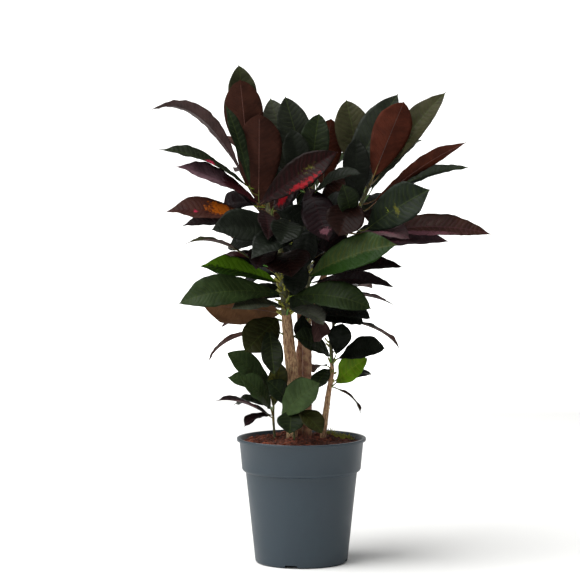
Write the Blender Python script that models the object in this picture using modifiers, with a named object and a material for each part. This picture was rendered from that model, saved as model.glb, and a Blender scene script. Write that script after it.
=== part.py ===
"""A potted croton: woody cuttings with leafy shoots, standing in the soil of a grower's pot.

Metres, +Z up. The origin is on the pot's axis, at the surface that the pot stands on. The front view
looks along +Y, so a larger Y, or depth, lies further back.
"""

import itertools
import math

import bmesh
import bpy
from mathutils import Matrix, Vector
from mathutils.bvhtree import BVHTree

CM = 0.01
MM = 0.001

# Clearance between pieces that touch.
GAP = 0.35 * MM

# Pot. Radii are outer ones, heights are above the surface that it stands on.
POT_HEIGHT = 203 * MM
POT_WALL = 1.6 * MM
POT_SIDES = 32
LIP_RADIUS = 105 * MM
LIP_HEIGHT = 4.5 * MM
LIP_ROUND = 1.2 * MM
BAND_TOP_RADIUS = 100.8 * MM
BAND_FOOT_RADIUS = 96.8 * MM
BAND_FOOT = 154.5 * MM
BODY_TOP_RADIUS = 90.9 * MM
BODY_TOP = 147 * MM
BODY_FOOT_RADIUS = 75.4 * MM
FOOT_ROUND = 4.5 * MM
FOOT_WIDTH = 3.5 * MM
FLOOR_RAISE = 4.4 * MM
FLOOR_THICKNESS = 2 * MM
FLOOR_ROUND = 2 * MM

# Notches through the foot ring, and drain holes through the raised floor.
NOTCH_COUNT = 4
NOTCH_TURN = math.radians(-103)
NOTCH_WIDTH = 24 * MM
NOTCH_DEPTH = 20 * MM
NOTCH_HEIGHT = 5.2 * MM
NOTCH_TAPER = 0.78
DRAIN_COUNT = 8
DRAIN_RADIUS = 4 * MM
DRAIN_CIRCLE = 50 * MM
DRAIN_SIDES = 8
DRAIN_DEPTH = 40 * MM

# Soil, mounded and lumpy.
SOIL_EDGE = 194 * MM
SOIL_CROWN = 204.5 * MM
SOIL_RINGS = 4
SOIL_DOME = 2.2
SOIL_LUMP = 1.3 * MM

# Stems. A cutting is woody up to its top, and its leafy shoot is seated on that.
STEM_FOOT = 16.5
STEM_STEP = 1.8 * CM
SEAT_RUN = 5 * MM
KNOBS = 0.07
KNOB_STEP = 2.4
HOLE_EASE = 1.07

# Leaves.
ROOT_MARGIN = 4 * MM
ROOT_FALL = 0.45
SHORTEST_PETIOLE = 15 * MM
SHARPEST_BEND = 0.15
PETIOLE_THICKNESS = 2.2 * MM
PETIOLE_HALF_WIDTH = 1.2 * MM
BLADE_THICKNESS = 0.8 * MM
TIP_HALF_WIDTH = 0.6 * MM
FOLD = 0.24
BROADEST_SHIFT = 1.3
BLUNTNESS = 0.54
BROAD_RATIO = 0.42
NARROW_POINT = 2.2
SMALL_LEAF = 9 * CM
SMALL_POINT = 0.6
WAVE = 1.5 * MM
WAVE_STEP = 2.3
WAVE_SIDE = 1.7
WAVE_SPREAD = 60
LEAN = 1.2
BLADE_STATIONS = (0.0, 0.16, 0.38, 0.64, 0.86, 1.0)
CLEAR = 2.2 * MM

# The front view is taken from an eye this far from the pot's axis and this high.
EYE_DISTANCE = 4.0
EYE_HEIGHT = 0.73

# Which way a leaf's upper side faces: sideways, up and back, as seen from the front.
UP = (0, 1, 0)
FRONT = (0, 0.1, -1)
BACK = (0, 0.1, 1)
HALF = (0, 1, -0.6)
OPEN = (0, 0.8, -1)

# Routes of the stems, as front-view sideways position, height and depth in cm.
LEFT_ROUTE = [
    (-1.7, STEM_FOOT, -1), (-1.45, 24, -1), (-1.4, 29.5, -1), (-1.75, 33, -1), (-2.05, 36, -1),
]
LEFT_SHOOT = [
    (-2.35, 39.5, -1), (-2.6, 43, -1), (-3.0, 46, -1), (-3.4, 50, -1),
    (-4.5, 55, -1), (-6, 59, -0.5), (-7.2, 62, 0),
]
MIDDLE_ROUTE = [(1.0, STEM_FOOT, 0.8), (0.9, 24, 0.7), (0.9, 31, 0.6), (0.9, 36.5, 0.7)]
MIDDLE_SHOOT = [(0.85, 40, 0.9), (0.8, 44, 1), (1.2, 52, 1.5), (1.8, 58, 2), (2, 62, 2)]
BACK_ROUTE = [(-0.4, STEM_FOOT, 3), (-0.3, 28, 3.2), (-0.2, 35, 3.3), (2.3, 43.5, 3.5), (5, 49.4, 3)]
BACK_PRONG = [(-0.2, 35.8, 3.3), (-0.3, 39.5, 3.8), (-0.4, 43, 4.6), (-0.6, 48, 6)]
RIGHT_SHOOT = [(7, 53, 2), (9.5, 58, 1), (11.3, 62, 0.5)]
BACK_SHOOT = [(-1, 52, 7), (-1.8, 56.5, 8), (-2.2, 60, 8.5)]
TWIG_ROUTE = [(3.3, STEM_FOOT, -0.5), (3.6, 21.5, -0.5), (4.4, 27.5, -0.4)]
TWIG_SHOOT = [(5.0, 31, -0.4), (4.9, 33.5, -0.3), (4.7, 36, 0), (5.2, 38.5, 0.3), (5.0, 41, 0.5)]
LEFT_SUCKER = [(-4.1, STEM_FOOT, -1.5), (-4.4, 21, -1.5), (-4.6, 24, -1.5), (-4.4, 27.5, -1.5)]
FRONT_SUCKER = [(-1.2, STEM_FOOT, -3.2), (-1.2, 21, -3.4), (-1.3, 24, -3.8), (-1.0, 26.5, -4)]

# Each stem: what carries it, its route, its radii at the foot and at the top in mm, and how many sides
# its round has. The prong is the back cutting's second branch and is fused into it.
STEMS = {
    "trunk_left": ("soil", LEFT_ROUTE, 9.8, 9.8, 10),
    "trunk_middle": ("soil", MIDDLE_ROUTE, 8.4, 8.0, 10),
    "trunk_back": ("soil", BACK_ROUTE, 7.4, 4.6, 8),
    "prong": ("trunk_back", BACK_PRONG, 4.6, 4.2, 8),
    "trunk_right": ("soil", TWIG_ROUTE, 6.0, 4.4, 8),
    "shoot_left": ("trunk_left", LEFT_SHOOT, 9.8, 3, 8),
    "shoot_middle": ("trunk_middle", MIDDLE_SHOOT, 8.0, 2.8, 8),
    "shoot_right": ("trunk_back", RIGHT_SHOOT, 4.6, 2.8, 8),
    "shoot_back": ("prong", BACK_SHOOT, 4.2, 2.6, 8),
    "shoot_twig": ("trunk_right", TWIG_SHOOT, 4.4, 2, 8),
    "sucker_left": ("soil", LEFT_SUCKER, 2.4, 1.8, 6),
    "sucker_front": ("soil", FRONT_SUCKER, 2.4, 1.8, 6),
}

# Leaves of each stem: base of the blade, tip, full width, arch, and the way the upper side faces.
# Base and tip are front-view sideways position, height and depth, and all lengths are in cm.
OUTER_LEAVES = {
    "shoot_left": [
        ((-6.9, 58.6, -1.7), (-6.8, 73, -2.8), 7.4, 0.8, BACK),
        ((-8.6, 65.4, 0), (-9.9, 78.5, -0.4), 6.4, 0.5, BACK),
        ((-8.8, 69, 2.5), (-10.1, 80.8, 2.2), 4.7, 0.6, (0.1, 0.2, -1)),
        ((-8.2, 60.5, -1.1), (-12.3, 74.4, -1.1), 2.6, 0.8, (0.6, 0.2, -1)),
        ((-8.8, 61.2, -0.6), (-24.3, 73.4, -1), 5.4, 4.4, (0, 1, 0.35)),
        ((-8.5, 61, -2), (-23.3, 67, -4), 4.4, 1.4, (0, 1, -0.35)),
        ((-7, 58.3, -3), (-20.4, 64.3, -6), 5.4, 1.0, (0, 1, -0.8)),
        ((-7.5, 58, -1.5), (-15.3, 62.2, -1), 4.6, 0.8, (0, 1, -0.2)),
        ((-7.2, 55.4, -4), (-21.9, 57, -8), 5.2, 1.2, (0, 1, -0.8)),
        ((-6.5, 54.4, -2.6), (-19.5, 54.6, -4.6), 4.4, 1.0, (0, 1, -0.4)),
        ((-2.4, 53.6, -4), (-14.6, 54.1, -9.5), 6.6, 0.8, (-0.1, 0.8, -1)),
        ((-7.4, 48.9, -1.5), (-19, 51.7, -2), 4.0, 1.6, UP),
        ((-3.5, 46.5, 1.5), (-13.2, 49.8, 3), 4.4, 1.0, (0, 1, 0.3)),
        ((-4, 45.6, -1), (-16.5, 48.2, -3), 5.0, 0.8, (0, 1, -0.7)),
        ((-3.2, 43.7, -2), (-20, 42, -7), 6.0, 2.2, OPEN),
        ((-3.4, 40.6, 1), (-15.9, 41.6, 1.5), 6.6, 1.0, (0, 0.25, 1)),
        ((-3, 39.3, 2.5), (-13.1, 38.2, 5), 4.4, 1.0, UP),
        ((-3, 41.6, -3), (-11.4, 41.2, -9), 4.4, 0.8, (0, 1, -0.6)),
        ((-3.8, 39.6, -0.8), (-9.2, 34.2, -6), 5.8, 0.8, (0.4, 0.7, -1)),
        ((-4.5, 37.8, 0.5), (-15.1, 32.7, 1), 4.2, 1.6, (0, 1, 0.1)),
        ((-5.2, 38, -2), (-4.4, 30.4, -5.5), 3.6, 0.8, (0, 0.5, -1)),
        ((-7, 58, -4.6), (6, 66.8, -7), 5.2, 1.0, (-0.3, 0.25, -1)),
        ((-1.6, 43.4, -4), (11.4, 41.2, -9), 5.4, 1.8, OPEN),
        ((-2, 41.2, -4), (3.6, 38.6, -10), 4.4, 1.0, (0.1, 1, -0.45)),
    ],
    "shoot_middle": [
        ((0.8, 54.6, -3), (-8.2, 49.3, -9), 5.4, 1.0, (-0.3, 0.7, -1)),
        ((1.2, 46.6, -4), (15.5, 51.7, -10), 6.4, 1.4, (-0.2, 0.7, -1)),
        ((0.5, 40.5, -1), (11.3, 39.6, -3), 4.4, 1.4, (0, 1, -0.7)),
        ((0.5, 40, 1.6), (10.2, 38.8, 4), 4.4, 1.2, (0, 1, -0.3)),
        ((1.5, 43, 2), (15.1, 41.8, 4), 4.0, 1.2, (0, 1, 0)),
        ((1.5, 46.5, -1), (16.5, 48, -2), 4.4, 1.2, HALF),
        ((1.5, 45.5, 1.4), (15, 44.8, 2.5), 4.4, 1.0, (0, 1, -0.5)),
        ((1.4, 59.4, -2), (9.6, 63.2, -7), 4.4, 1.0, (0, 1, -0.6)),
        ((-0.8, 61, 2.6), (-5.1, 75.5, 3.4), 5.6, 1.0, FRONT),
        ((1.4, 61.5, 3), (-2.7, 75.8, 1.8), 5.4, 1.0, FRONT),
        ((1.5, 61, 0), (2.9, 73, -1), 5.0, 0.8, (-0.2, 0.1, -1)),
        ((3.4, 61, 1), (4.8, 72.2, 2), 5.0, 0.8, BACK),
        ((0.4, 60.5, -1), (-1.6, 70.4, -2.5), 4.4, 0.8, FRONT),
    ],
    "shoot_right": [
        ((10.6, 54.2, -3), (20.8, 60.6, -6.5), 6.8, 0.8, (-0.3, 0.4, -1)),
        ((9.5, 53.5, -2), (17.5, 52.6, -9), 4.6, 1.2, (0, 1, -0.8)),
        ((10.8, 57.5, -2.5), (27, 68.4, -4), 3.8, 1.0, (-0.4, 0.6, 0.6)),
        ((11, 58.5, -1), (27.2, 64.2, -1), 4.2, 1.2, (0, 1, -0.45)),
        ((11.7, 62.8, -1.5), (16.6, 74.9, -2.5), 6.0, 0.8, BACK),
        ((12.3, 62.5, 0), (23.4, 76.4, 0), 5.4, 0.8, (-0.6, 0.5, -1)),
        ((10, 62, 2.2), (7.2, 75.2, 3.5), 5.8, 0.8, FRONT),
        ((7, 60.5, 0.6), (15.7, 76.2, 1.2), 6.0, 0.8, (-0.3, 0.2, -1)),
        ((8.8, 58, -0.6), (8.8, 69, -1), 4.4, 0.8, FRONT),
        ((7.5, 51, -1.5), (23.8, 52.2, -2), 5.0, 1.2, (0, 1, -0.7)),
        ((9.5, 53.4, -0.5), (30.8, 53.3, -2.5), 5.2, 1.7, (0, 1, -0.9)),
    ],
    "shoot_twig": [
        ((5.6, 29.2, -1), (10.8, 33.2, -4), 4.8, 0.6, (-0.5, 0.5, -1)),
        ((5.5, 29.6, 0.8), (11.4, 30.6, 4), 3.6, 0.8, (0, 1, -0.6)),
        ((5, 28.6, 1), (9.6, 24.3, 3), 1.6, 0.9, UP),
        ((4.6, 31.5, -1), (2.2, 28.1, -5), 3.0, 0.6, (0, 1, -0.6)),
        ((4.2, 32, 0.8), (1.8, 30.8, 5), 3.0, 0.6, UP),
        ((4.6, 33.6, -1), (-1.4, 36.8, -5.5), 5.2, 0.8, (0, 1, -1)),
        ((5.6, 33.8, -0.2), (6.7, 39, -1), 3.8, 0.6, FRONT),
        ((6, 33.2, -1.2), (13.6, 34.8, -4), 4.6, 1.0, (0, 1, -1)),
        ((6, 39.6, 1), (16.2, 34.2, 2.5), 3.8, 1.4, UP),
    ],
    "sucker_left": [
        ((-4.8, 27.6, -2), (-12.2, 34.2, -4), 4.6, 0.8, (0.5, 0.8, -1)),
        ((-5, 26.8, -1), (-12.1, 30.1, -0.5), 4.0, 0.8, HALF),
        ((-5, 25, -2.4), (-10, 30.2, -6), 4.4, 0.8, (0.4, 0.8, -1)),
        ((-4.5, 25.4, -2.4), (-3.4, 32.6, -2.8), 3.2, 0.6, FRONT),
        ((-5, 25.4, -1), (-11, 25.6, 0.8), 3.6, 0.8, (0, 1, -0.3)),
        ((-4.8, 23.6, -2), (-14.1, 26.2, -4), 4.0, 1.0, UP),
        ((-4.8, 24, -2.6), (-9.3, 22, -5), 2.6, 0.8, (0, 1, -0.3)),
    ],
    "sucker_front": [
        ((-3.2, 23.8, -4.8), (3, 29.2, -7), 5.6, 0.8, (-0.4, 0.5, -1)),
        ((-1.6, 24.8, -5), (-1.9, 20.8, -8.8), 4.4, 0.8, (0, 0.4, -1)),
        ((-0.8, 25, -5.6), (3.4, 20.9, -9), 3.8, 0.6, (0.3, 0.4, -1)),
        ((-1.8, 25.4, -4.4), (-5.6, 29.6, -6.6), 3.6, 0.6, (0.4, 0.8, -1)),
    ],
}

# Leaves deep among the others, placed once those that stand out are in their places.
INNER_LEAVES = {
    "shoot_left": [
        ((-6.4, 57.4, -3), (-5.4, 52.4, -7.5), 3.4, 0.8, (0.4, 0.5, -1)),
        ((-1.8, 55.6, -4), (-3.4, 51.6, -10), 5.2, 0.8, (0, 1, -0.8)),
        ((-3, 50.4, -2.5), (-1.6, 46.4, -9.5), 7.4, 1.2, (0, 0.8, -1)),
        ((-4.5, 51, -2), (-7.4, 47.6, -9), 4.6, 1.2, (0, 1, -0.6)),
        ((-4.6, 57.6, -1.4), (-0.6, 60.6, -5), 5.2, 0.8, (0, 0.6, -1)),
        ((-4.2, 57.2, 0.8), (1, 54.4, 1), 5.0, 0.6, (0, 0.7, -1)),
        ((-2.6, 47.4, 0.8), (-9.5, 45.6, 1.6), 5.2, 0.8, (0, 1, -0.8)),
        ((-4.6, 52.2, 0.5), (-12, 51.2, 0.5), 5.2, 0.8, (0, 1, -0.8)),
        ((-4, 48.6, 1.5), (-12, 47.9, 2.5), 5.0, 0.8, (0, 1, -0.8)),
        ((-6.6, 58.4, 1), (-13, 57.4, 2), 5.0, 0.8, (0, 1, -0.8)),
        ((-2.2, 43.6, 0.8), (-9, 42.4, 2), 5.0, 0.8, (0, 1, -0.8)),
        ((-1.9, 45.2, -1.4), (1.4, 40.8, -2.6), 4.4, 0.6, (0, 0.5, -1)),
    ],
    "shoot_middle": [
        ((0.2, 40.6, -1), (-0.3, 36, -2.4), 3.4, 0.6, (0, 0.3, -1)),
        ((1.6, 55.6, -0.4), (0.6, 47.6, -3.8), 4.8, 0.8, (0, 0.4, -1)),
        ((0.2, 49, 0.6), (-1.2, 43.4, -3), 4.2, 0.8, (0, 0.5, -1)),
        ((1.2, 60.8, -1.5), (4.4, 52.2, -7.4), 5.6, 0.8, (-0.1, 0.4, -1)),
        ((1.8, 53, -0.5), (7, 50, -6), 5.0, 1.2, (0, 0.8, -1)),
        ((0.8, 50.5, -0.6), (-2.2, 48.6, -6), 4.6, 1.0, (0, 1, -0.7)),
        ((1.7, 40.4, -1.2), (3.2, 36.2, -3), 3.4, 0.6, (0, 0.3, 1)),
        ((2, 57, 0.5), (8.6, 57.4, -2), 5.6, 1.0, (0, 1, -1)),
    ],
    "shoot_right": [
        ((9, 58.5, -1.5), (6, 53, -8), 6.2, 1.2, (0, 0.8, -1)),
        ((8, 56, -1.5), (6.6, 61.5, -5), 3.8, 0.6, (0, 0.6, -1)),
        ((9.6, 56.8, 1.4), (15.4, 54.2, 2), 5.2, 0.6, (0, 0.8, -1)),
    ],
}

# Leaves that the front view hides: how many, the part of the shoot that they grow on, and the span of
# compass directions that they point to, from the right (0 degrees) through the back (90) to the left (180).
HIDDEN_LEAVES = {
    "shoot_left": (9, 0.12, 1.0, 72, 110),
    "shoot_middle": (9, 0.1, 1.0, 55, 120),
    "shoot_right": (8, 0.0, 1.0, 46, 105),
    "shoot_back": (12, 0.0, 1.0, 35, 145),
}
HIDDEN_PETIOLE = 3.2 * CM
HIDDEN_LIFT = 0.6 * CM
HIDDEN_LENGTH = 14 * CM
HIDDEN_LENGTHENING = 3.1 * CM
HIDDEN_WIDTH = 5.0 * CM
HIDDEN_ARCH = 1.4 * CM
LOWEST_RISE = 8
HIGHEST_RISE = 44
RISE_BEND = 1.3
LENGTH_STEP = 0.37
GOLDEN_SHARE = 0.618034

# Colour and roughness of each kind of piece, by the first word of its name.
FINISHES = {
    "pot": ((0.06, 0.085, 0.105), 0.5),
    "soil": ((0.12, 0.05, 0.03), 0.95),
    "trunk": ((0.24, 0.15, 0.09), 0.8),
    "shoot": ((0.03, 0.035, 0.03), 0.35),
    "sucker": ((0.03, 0.08, 0.025), 0.4),
}


def seen_at(place):
    """The point that the front view shows at this sideways position and height, at this depth (cm)."""
    sideways, height, depth = (value * CM for value in place)
    reach = (EYE_DISTANCE + depth) / EYE_DISTANCE
    return Vector((sideways * reach, depth, EYE_HEIGHT + (height - EYE_HEIGHT) * reach))


def principled(name, rgb, roughness):
    """A Principled material with this colour and roughness."""
    material = bpy.data.materials.new(name)
    material.use_nodes = True
    shader = material.node_tree.nodes["Principled BSDF"]
    shader.inputs["Base Color"].default_value = (*rgb, 1)
    shader.inputs["Roughness"].default_value = roughness
    material.diffuse_color = (*rgb, 1)
    return material


def new_collection(name):
    made = bpy.data.collections.new(name)
    bpy.context.scene.collection.children.link(made)
    return made


def new_object(name, data, collection):
    made = bpy.data.objects.new(name, data)
    collection.objects.link(made)
    return made


def object_of(name, shape, collection):
    """An object with this bmesh, which is freed."""
    mesh = bpy.data.meshes.new(name)
    shape.to_mesh(mesh)
    shape.free()
    return new_object(name, mesh, collection)


def as_solid(made, weld=0.01 * MM):
    """Turns an object with modifiers into a plain mesh object in the same place."""
    bpy.context.view_layer.update()
    graph = bpy.context.evaluated_depsgraph_get()
    mesh = bpy.data.meshes.new_from_object(made.evaluated_get(graph), depsgraph=graph)
    shape = bmesh.new()
    shape.from_mesh(mesh)
    bmesh.ops.remove_doubles(shape, verts=shape.verts, dist=weld)
    name = made.name
    collection = made.users_collection[0]
    bpy.data.objects.remove(made)
    return object_of(name, shape, collection)


def boolean(made, operation, collection):
    """Applies one Boolean with every object of a collection, then removes those objects."""
    modifier = made.modifiers.new(operation.title(), "BOOLEAN")
    modifier.operation = operation
    modifier.operand_type = "COLLECTION"
    modifier.collection = collection
    modifier.solver = "EXACT"
    solid = as_solid(made)
    for other in list(collection.objects):
        bpy.data.objects.remove(other)
    return solid


def drop_scraps(made):
    """Keeps only the largest body of a mesh, without the loose scraps or sealed hollows of fusing."""
    shape = bmesh.new()
    shape.from_mesh(made.data)
    left = set(shape.verts)
    bodies = []
    while left:
        body = set()
        edge = [left.pop()]
        while edge:
            vertex = edge.pop()
            body.add(vertex)
            near = {link.other_vert(vertex) for link in vertex.link_edges} & left
            left -= near
            edge.extend(near)
        bodies.append(body)
    bodies.sort(key=len)
    for body in bodies[:-1]:
        bmesh.ops.delete(shape, geom=list(body), context="VERTS")
    shape.to_mesh(made.data)
    shape.free()


def turned(name, profile, collection):
    """A solid turned round the Z axis from a profile of (radius, height) points."""
    shape = bmesh.new()
    points = [shape.verts.new((radius, 0, height)) for radius, height in profile]
    for start, end in zip(points, points[1:]):
        shape.edges.new((start, end))
    made = object_of(name, shape, collection)
    screw = made.modifiers.new("Screw", "SCREW")
    screw.steps = screw.render_steps = POT_SIDES
    screw.use_merge_vertices = True
    screw.merge_threshold = 0.01 * MM
    return as_solid(made)


def arc(centre, radius, start, end, steps):
    """Points on an arc in a profile, from one angle in degrees to another."""
    angles = [math.radians(start + (end - start) * step / steps) for step in range(steps + 1)]
    return [(centre[0] + radius * math.cos(a), centre[1] + radius * math.sin(a)) for a in angles]


def body_radius(height):
    """Outer radius of the tapered body below the band."""
    rise = (height - FOOT_ROUND) / (BODY_TOP - FOOT_ROUND)
    return BODY_FOOT_RADIUS + (BODY_TOP_RADIUS - BODY_FOOT_RADIUS) * rise


def wall_inside(top, inset):
    """The pot's inner wall as profile points from the floor up, set in from its outer surface."""
    floor = FLOOR_RAISE + FLOOR_THICKNESS
    band_slope = (BAND_TOP_RADIUS - BAND_FOOT_RADIUS) / (POT_HEIGHT - BAND_FOOT)
    top_radius = BAND_FOOT_RADIUS + band_slope * (top - BAND_FOOT)
    return [
        (body_radius(floor) - inset - FLOOR_ROUND, floor),
        (body_radius(floor + FLOOR_ROUND) - inset, floor + FLOOR_ROUND),
        (BODY_TOP_RADIUS - inset, BODY_TOP),
        (BAND_FOOT_RADIUS - inset, BAND_FOOT + inset),
        (top_radius - inset, top),
    ]


def add_notches(cutters):
    """Tapered blocks through the foot ring."""
    for turn in range(NOTCH_COUNT):
        shape = bmesh.new()
        bmesh.ops.create_cube(shape, size=1)
        for vertex in shape.verts:
            upper = vertex.co.z > 0
            vertex.co = (
                BODY_FOOT_RADIUS - FOOT_ROUND + vertex.co.x * NOTCH_DEPTH,
                vertex.co.y * NOTCH_WIDTH * (NOTCH_TAPER if upper else 1),
                NOTCH_HEIGHT if upper else -NOTCH_HEIGHT,
            )
        notch = object_of("notch", shape, cutters)
        notch.rotation_euler.z = NOTCH_TURN + turn * math.tau / NOTCH_COUNT


def add_drains(cutters):
    """Round pins through the raised floor."""
    for turn in range(DRAIN_COUNT):
        shape = bmesh.new()
        bmesh.ops.create_cone(
            shape, cap_ends=True, segments=DRAIN_SIDES,
            radius1=DRAIN_RADIUS, radius2=DRAIN_RADIUS, depth=DRAIN_DEPTH,
        )
        drain = object_of("drain", shape, cutters)
        angle = (turn + 0.5) * math.tau / DRAIN_COUNT
        drain.location = (DRAIN_CIRCLE * math.cos(angle), DRAIN_CIRCLE * math.sin(angle), FLOOR_RAISE)


def make_pot(parts, cutters):
    """The pot, turned in one piece and then notched and drilled."""
    floor_top = FLOOR_RAISE + FLOOR_THICKNESS
    lip_foot = POT_HEIGHT - LIP_HEIGHT
    shoulder = BAND_FOOT_RADIUS - BODY_TOP_RADIUS
    foot_inside = BODY_FOOT_RADIUS - FOOT_ROUND - FOOT_WIDTH
    profile = [(0, floor_top), *wall_inside(POT_HEIGHT, POT_WALL)]
    profile += arc((LIP_RADIUS - LIP_ROUND, POT_HEIGHT - LIP_ROUND), LIP_ROUND, 90, 0, 2)
    profile += [(LIP_RADIUS, lip_foot), (BAND_TOP_RADIUS, lip_foot)]
    profile += arc((BODY_TOP_RADIUS, BAND_FOOT), shoulder, 0, -90, 2)
    profile += arc((BODY_FOOT_RADIUS - FOOT_ROUND, FOOT_ROUND), FOOT_ROUND, 0, -90, 2)
    profile += [(foot_inside, 0), (foot_inside, FLOOR_RAISE), (0, FLOOR_RAISE)]
    pot = turned("pot", profile, parts)
    add_notches(cutters)
    add_drains(cutters)
    return boolean(pot, "DIFFERENCE", cutters)


def soil_lump(point):
    """Height of the lumps on the soil's upper side, fading out towards the pot's wall."""
    x, y = point.x / CM, point.y / CM
    waves = math.sin(1.9 * x + 0.7) * math.cos(1.6 * y) + 0.6 * math.sin(3.1 * y - 1.2 * x)
    fade = 1 - (point.xy.length / BAND_TOP_RADIUS) ** 4
    return SOIL_LUMP * waves * fade


def make_soil(parts, cutters):
    """The soil, filling the pot up to a mound, with a hole for each stem that the cutters hold."""
    wall = wall_inside(SOIL_EDGE, POT_WALL + GAP)
    top = []
    for ring in range(SOIL_RINGS):
        share = ring / SOIL_RINGS
        top.append((wall[-1][0] * share, SOIL_CROWN - (SOIL_CROWN - SOIL_EDGE) * share**SOIL_DOME))
    foot = [(radius, height + GAP) for radius, height in wall[:2]]
    profile = top + [wall[-1], wall[-2], wall[-3]] + foot[::-1] + [(0, foot[0][1])]
    soil = turned("soil", profile, parts)
    for vertex in soil.data.vertices:
        if vertex.co.z > SOIL_EDGE + 0.1 * MM:
            vertex.co.z += soil_lump(vertex.co)
    return boolean(soil, "DIFFERENCE", cutters)


def smooth_route(places):
    """Points along one smooth curve through these front-view places."""
    knots = [seen_at(place) for place in places]
    ends = [2 * knots[0] - knots[1], *knots, 2 * knots[-1] - knots[-2]]
    route = []
    for a, b, c, d in zip(ends, ends[1:], ends[2:], ends[3:]):
        count = max(1, round((c - b).length / STEM_STEP))
        for index in range(count):
            t = index / count
            bend = (2 * a - 5 * b + 4 * c - d) * t**2 + (3 * b - a - 3 * c + d) * t**3
            route.append(0.5 * (2 * b + (c - a) * t + bend))
    return [*route, knots[-1]]


def seated_route(carrier, places):
    """A shoot's route: face to face with the end of what carries it, and on through these places."""
    along = (carrier[-1] - carrier[-2]).normalized()
    foot = carrier[-1] + along * GAP
    return [foot, foot + along * SEAT_RUN, *smooth_route(places)]


def stem_routes():
    """The route of every stem, by name."""
    routes = {}
    for name, (carrier, places, _, _, _) in STEMS.items():
        if name.startswith("shoot"):
            routes[name] = seated_route(routes[carrier], places)
        else:
            routes[name] = smooth_route(places)
    return routes


def route_point(route, share):
    """The point at this share of a route's length."""
    lengths = [(end - start).length for start, end in zip(route, route[1:])]
    left = share * sum(lengths)
    for start, end, length in zip(route, route[1:], lengths):
        if left <= length:
            return start.lerp(end, left / length)
        left -= length
    return route[-1]


def tube(name, route, foot_radius, top_radius, sides, collection, knobs=0.0):
    """A tapering stem along a route, with slight swellings where leaves have been."""
    curve = bpy.data.curves.new(name, "CURVE")
    curve.dimensions = "3D"
    curve.bevel_depth = MM
    curve.bevel_resolution = sides // 2 - 2
    curve.use_fill_caps = True
    spline = curve.splines.new("POLY")
    last = len(route) - 1
    spline.points.add(last)
    for index, (point, place) in enumerate(zip(spline.points, route)):
        swelling = knobs * math.sin(KNOB_STEP * index) if 1 < index < last - 1 else 0
        point.co = (*place, 1)
        point.radius = (foot_radius + (top_radius - foot_radius) * index / last) * (1 + swelling)
    return as_solid(new_object(name, curve, collection))


def make_stems(routes, parts, cutters):
    """Every stem's solid along its route, with the back cutting's prong fused into it."""
    for name, (_, _, foot_radius, top_radius, sides) in STEMS.items():
        collection = cutters if name == "prong" else parts
        tube(name, routes[name], foot_radius, top_radius, sides, collection, KNOBS)
    boolean(bpy.data.objects["trunk_back"], "UNION", cutters)


def add_stem_holes(routes, cutters):
    """A plain pin, slightly wider than the stem, for each stem that stands in the soil."""
    for name, (carrier, _, radius, _, sides) in STEMS.items():
        if carrier == "soil":
            foot, *above = routes[name][:4]
            below = foot - (above[0] - foot).normalized() * GAP
            wide = radius * HOLE_EASE + GAP / MM
            tube("hole", [below, *above], wide, wide, sides, cutters)


def half_width(share, bluntness):
    """A croton blade's half width at a share of its length, as a share of the widest."""
    return math.sin(math.pi * share**BROADEST_SHIFT) ** bluntness if 0 < share < 1 else 0


class Leaf:
    """One leaf: its petiole's root, and a blade from its base to its tip over an arched midrib."""

    def __init__(self, root, base, tip, width, arch, facing, roll=0.0):
        chord = tip - base
        facing = Vector((facing[0], facing[2], facing[1]))
        self.up = (facing - facing.project(chord)).normalized()
        self.up = Matrix.Rotation(roll, 3, chord.normalized()) @ self.up
        self.root, self.base, self.tip = root, base, tip
        self.crown = (base + tip) / 2 + self.up * 2 * arch + chord.normalized() * LEAN * arch
        self.width = width
        self.bluntness = BLUNTNESS + NARROW_POINT * max(0, BROAD_RATIO - width / chord.length)
        self.bluntness += SMALL_POINT * max(0, 1 - chord.length / SMALL_LEAF)

    def at(self, share):
        """Midrib point and the blade's sideways and upward directions there."""
        place = self.base * (1 - share) ** 2 + self.crown * 2 * share * (1 - share) + self.tip * share**2
        along = (self.crown - self.base) * (1 - share) + (self.tip - self.crown) * share
        upward = (self.up - self.up.project(along)).normalized()
        return place, along.normalized().cross(upward), upward

    def petiole_at(self, share):
        """The petiole's root, or its end where the blade starts, and its directions there."""
        _, sideways, upward = self.at(0)
        along = (self.base - self.root).normalized()
        if share == 0:
            along = (along + upward.cross(sideways)).normalized()
        sideways = (sideways - sideways.project(along)).normalized()
        return self.root if share is None else self.base, sideways, sideways.cross(along)

    def doubles_back(self):
        """Whether the blade turns back over its own petiole."""
        outwards = (self.base - self.root).normalized()
        return outwards.dot((self.crown - self.base).normalized()) < SHARPEST_BEND

    def edge_wave(self, station, side):
        """How far the blade's edge is waved up or down at a station."""
        return WAVE * math.sin(WAVE_STEP * station + WAVE_SIDE * side + WAVE_SPREAD * self.width)

    def points(self, lift=0.0, spread=0.0):
        """Three points across the leaf at each station, from the petiole's root to the tip."""
        rows = []
        for station, share in enumerate((None, *BLADE_STATIONS)):
            place, sideways, upward = self.at(share) if share else self.petiole_at(share)
            narrow = TIP_HALF_WIDTH if share == 1 else PETIOLE_HALF_WIDTH
            half = max(narrow, self.width / 2 * half_width(share or 0, self.bluntness)) + spread
            inside = share and share < 1
            for side in (-1, 0, 1):
                raised = half * abs(side) * math.sin(FOLD) if inside else 0
                if inside and side:
                    raised += self.edge_wave(station, side)
                rows.append(place + sideways * side * half + upward * (raised + lift))
        return rows


def sheet_faces(first_station=0):
    """Triangles of a leaf's three-point-wide sheet, from this station on."""
    faces = []
    for station in range(first_station, len(BLADE_STATIONS)):
        for side in (0, 1):
            a = 3 * station + side
            faces += [(a, a + 1, a + 4), (a, a + 4, a + 3)]
    return faces


WHOLE_LEAF = sheet_faces()
BLADE_ONLY = sheet_faces(2)


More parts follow.
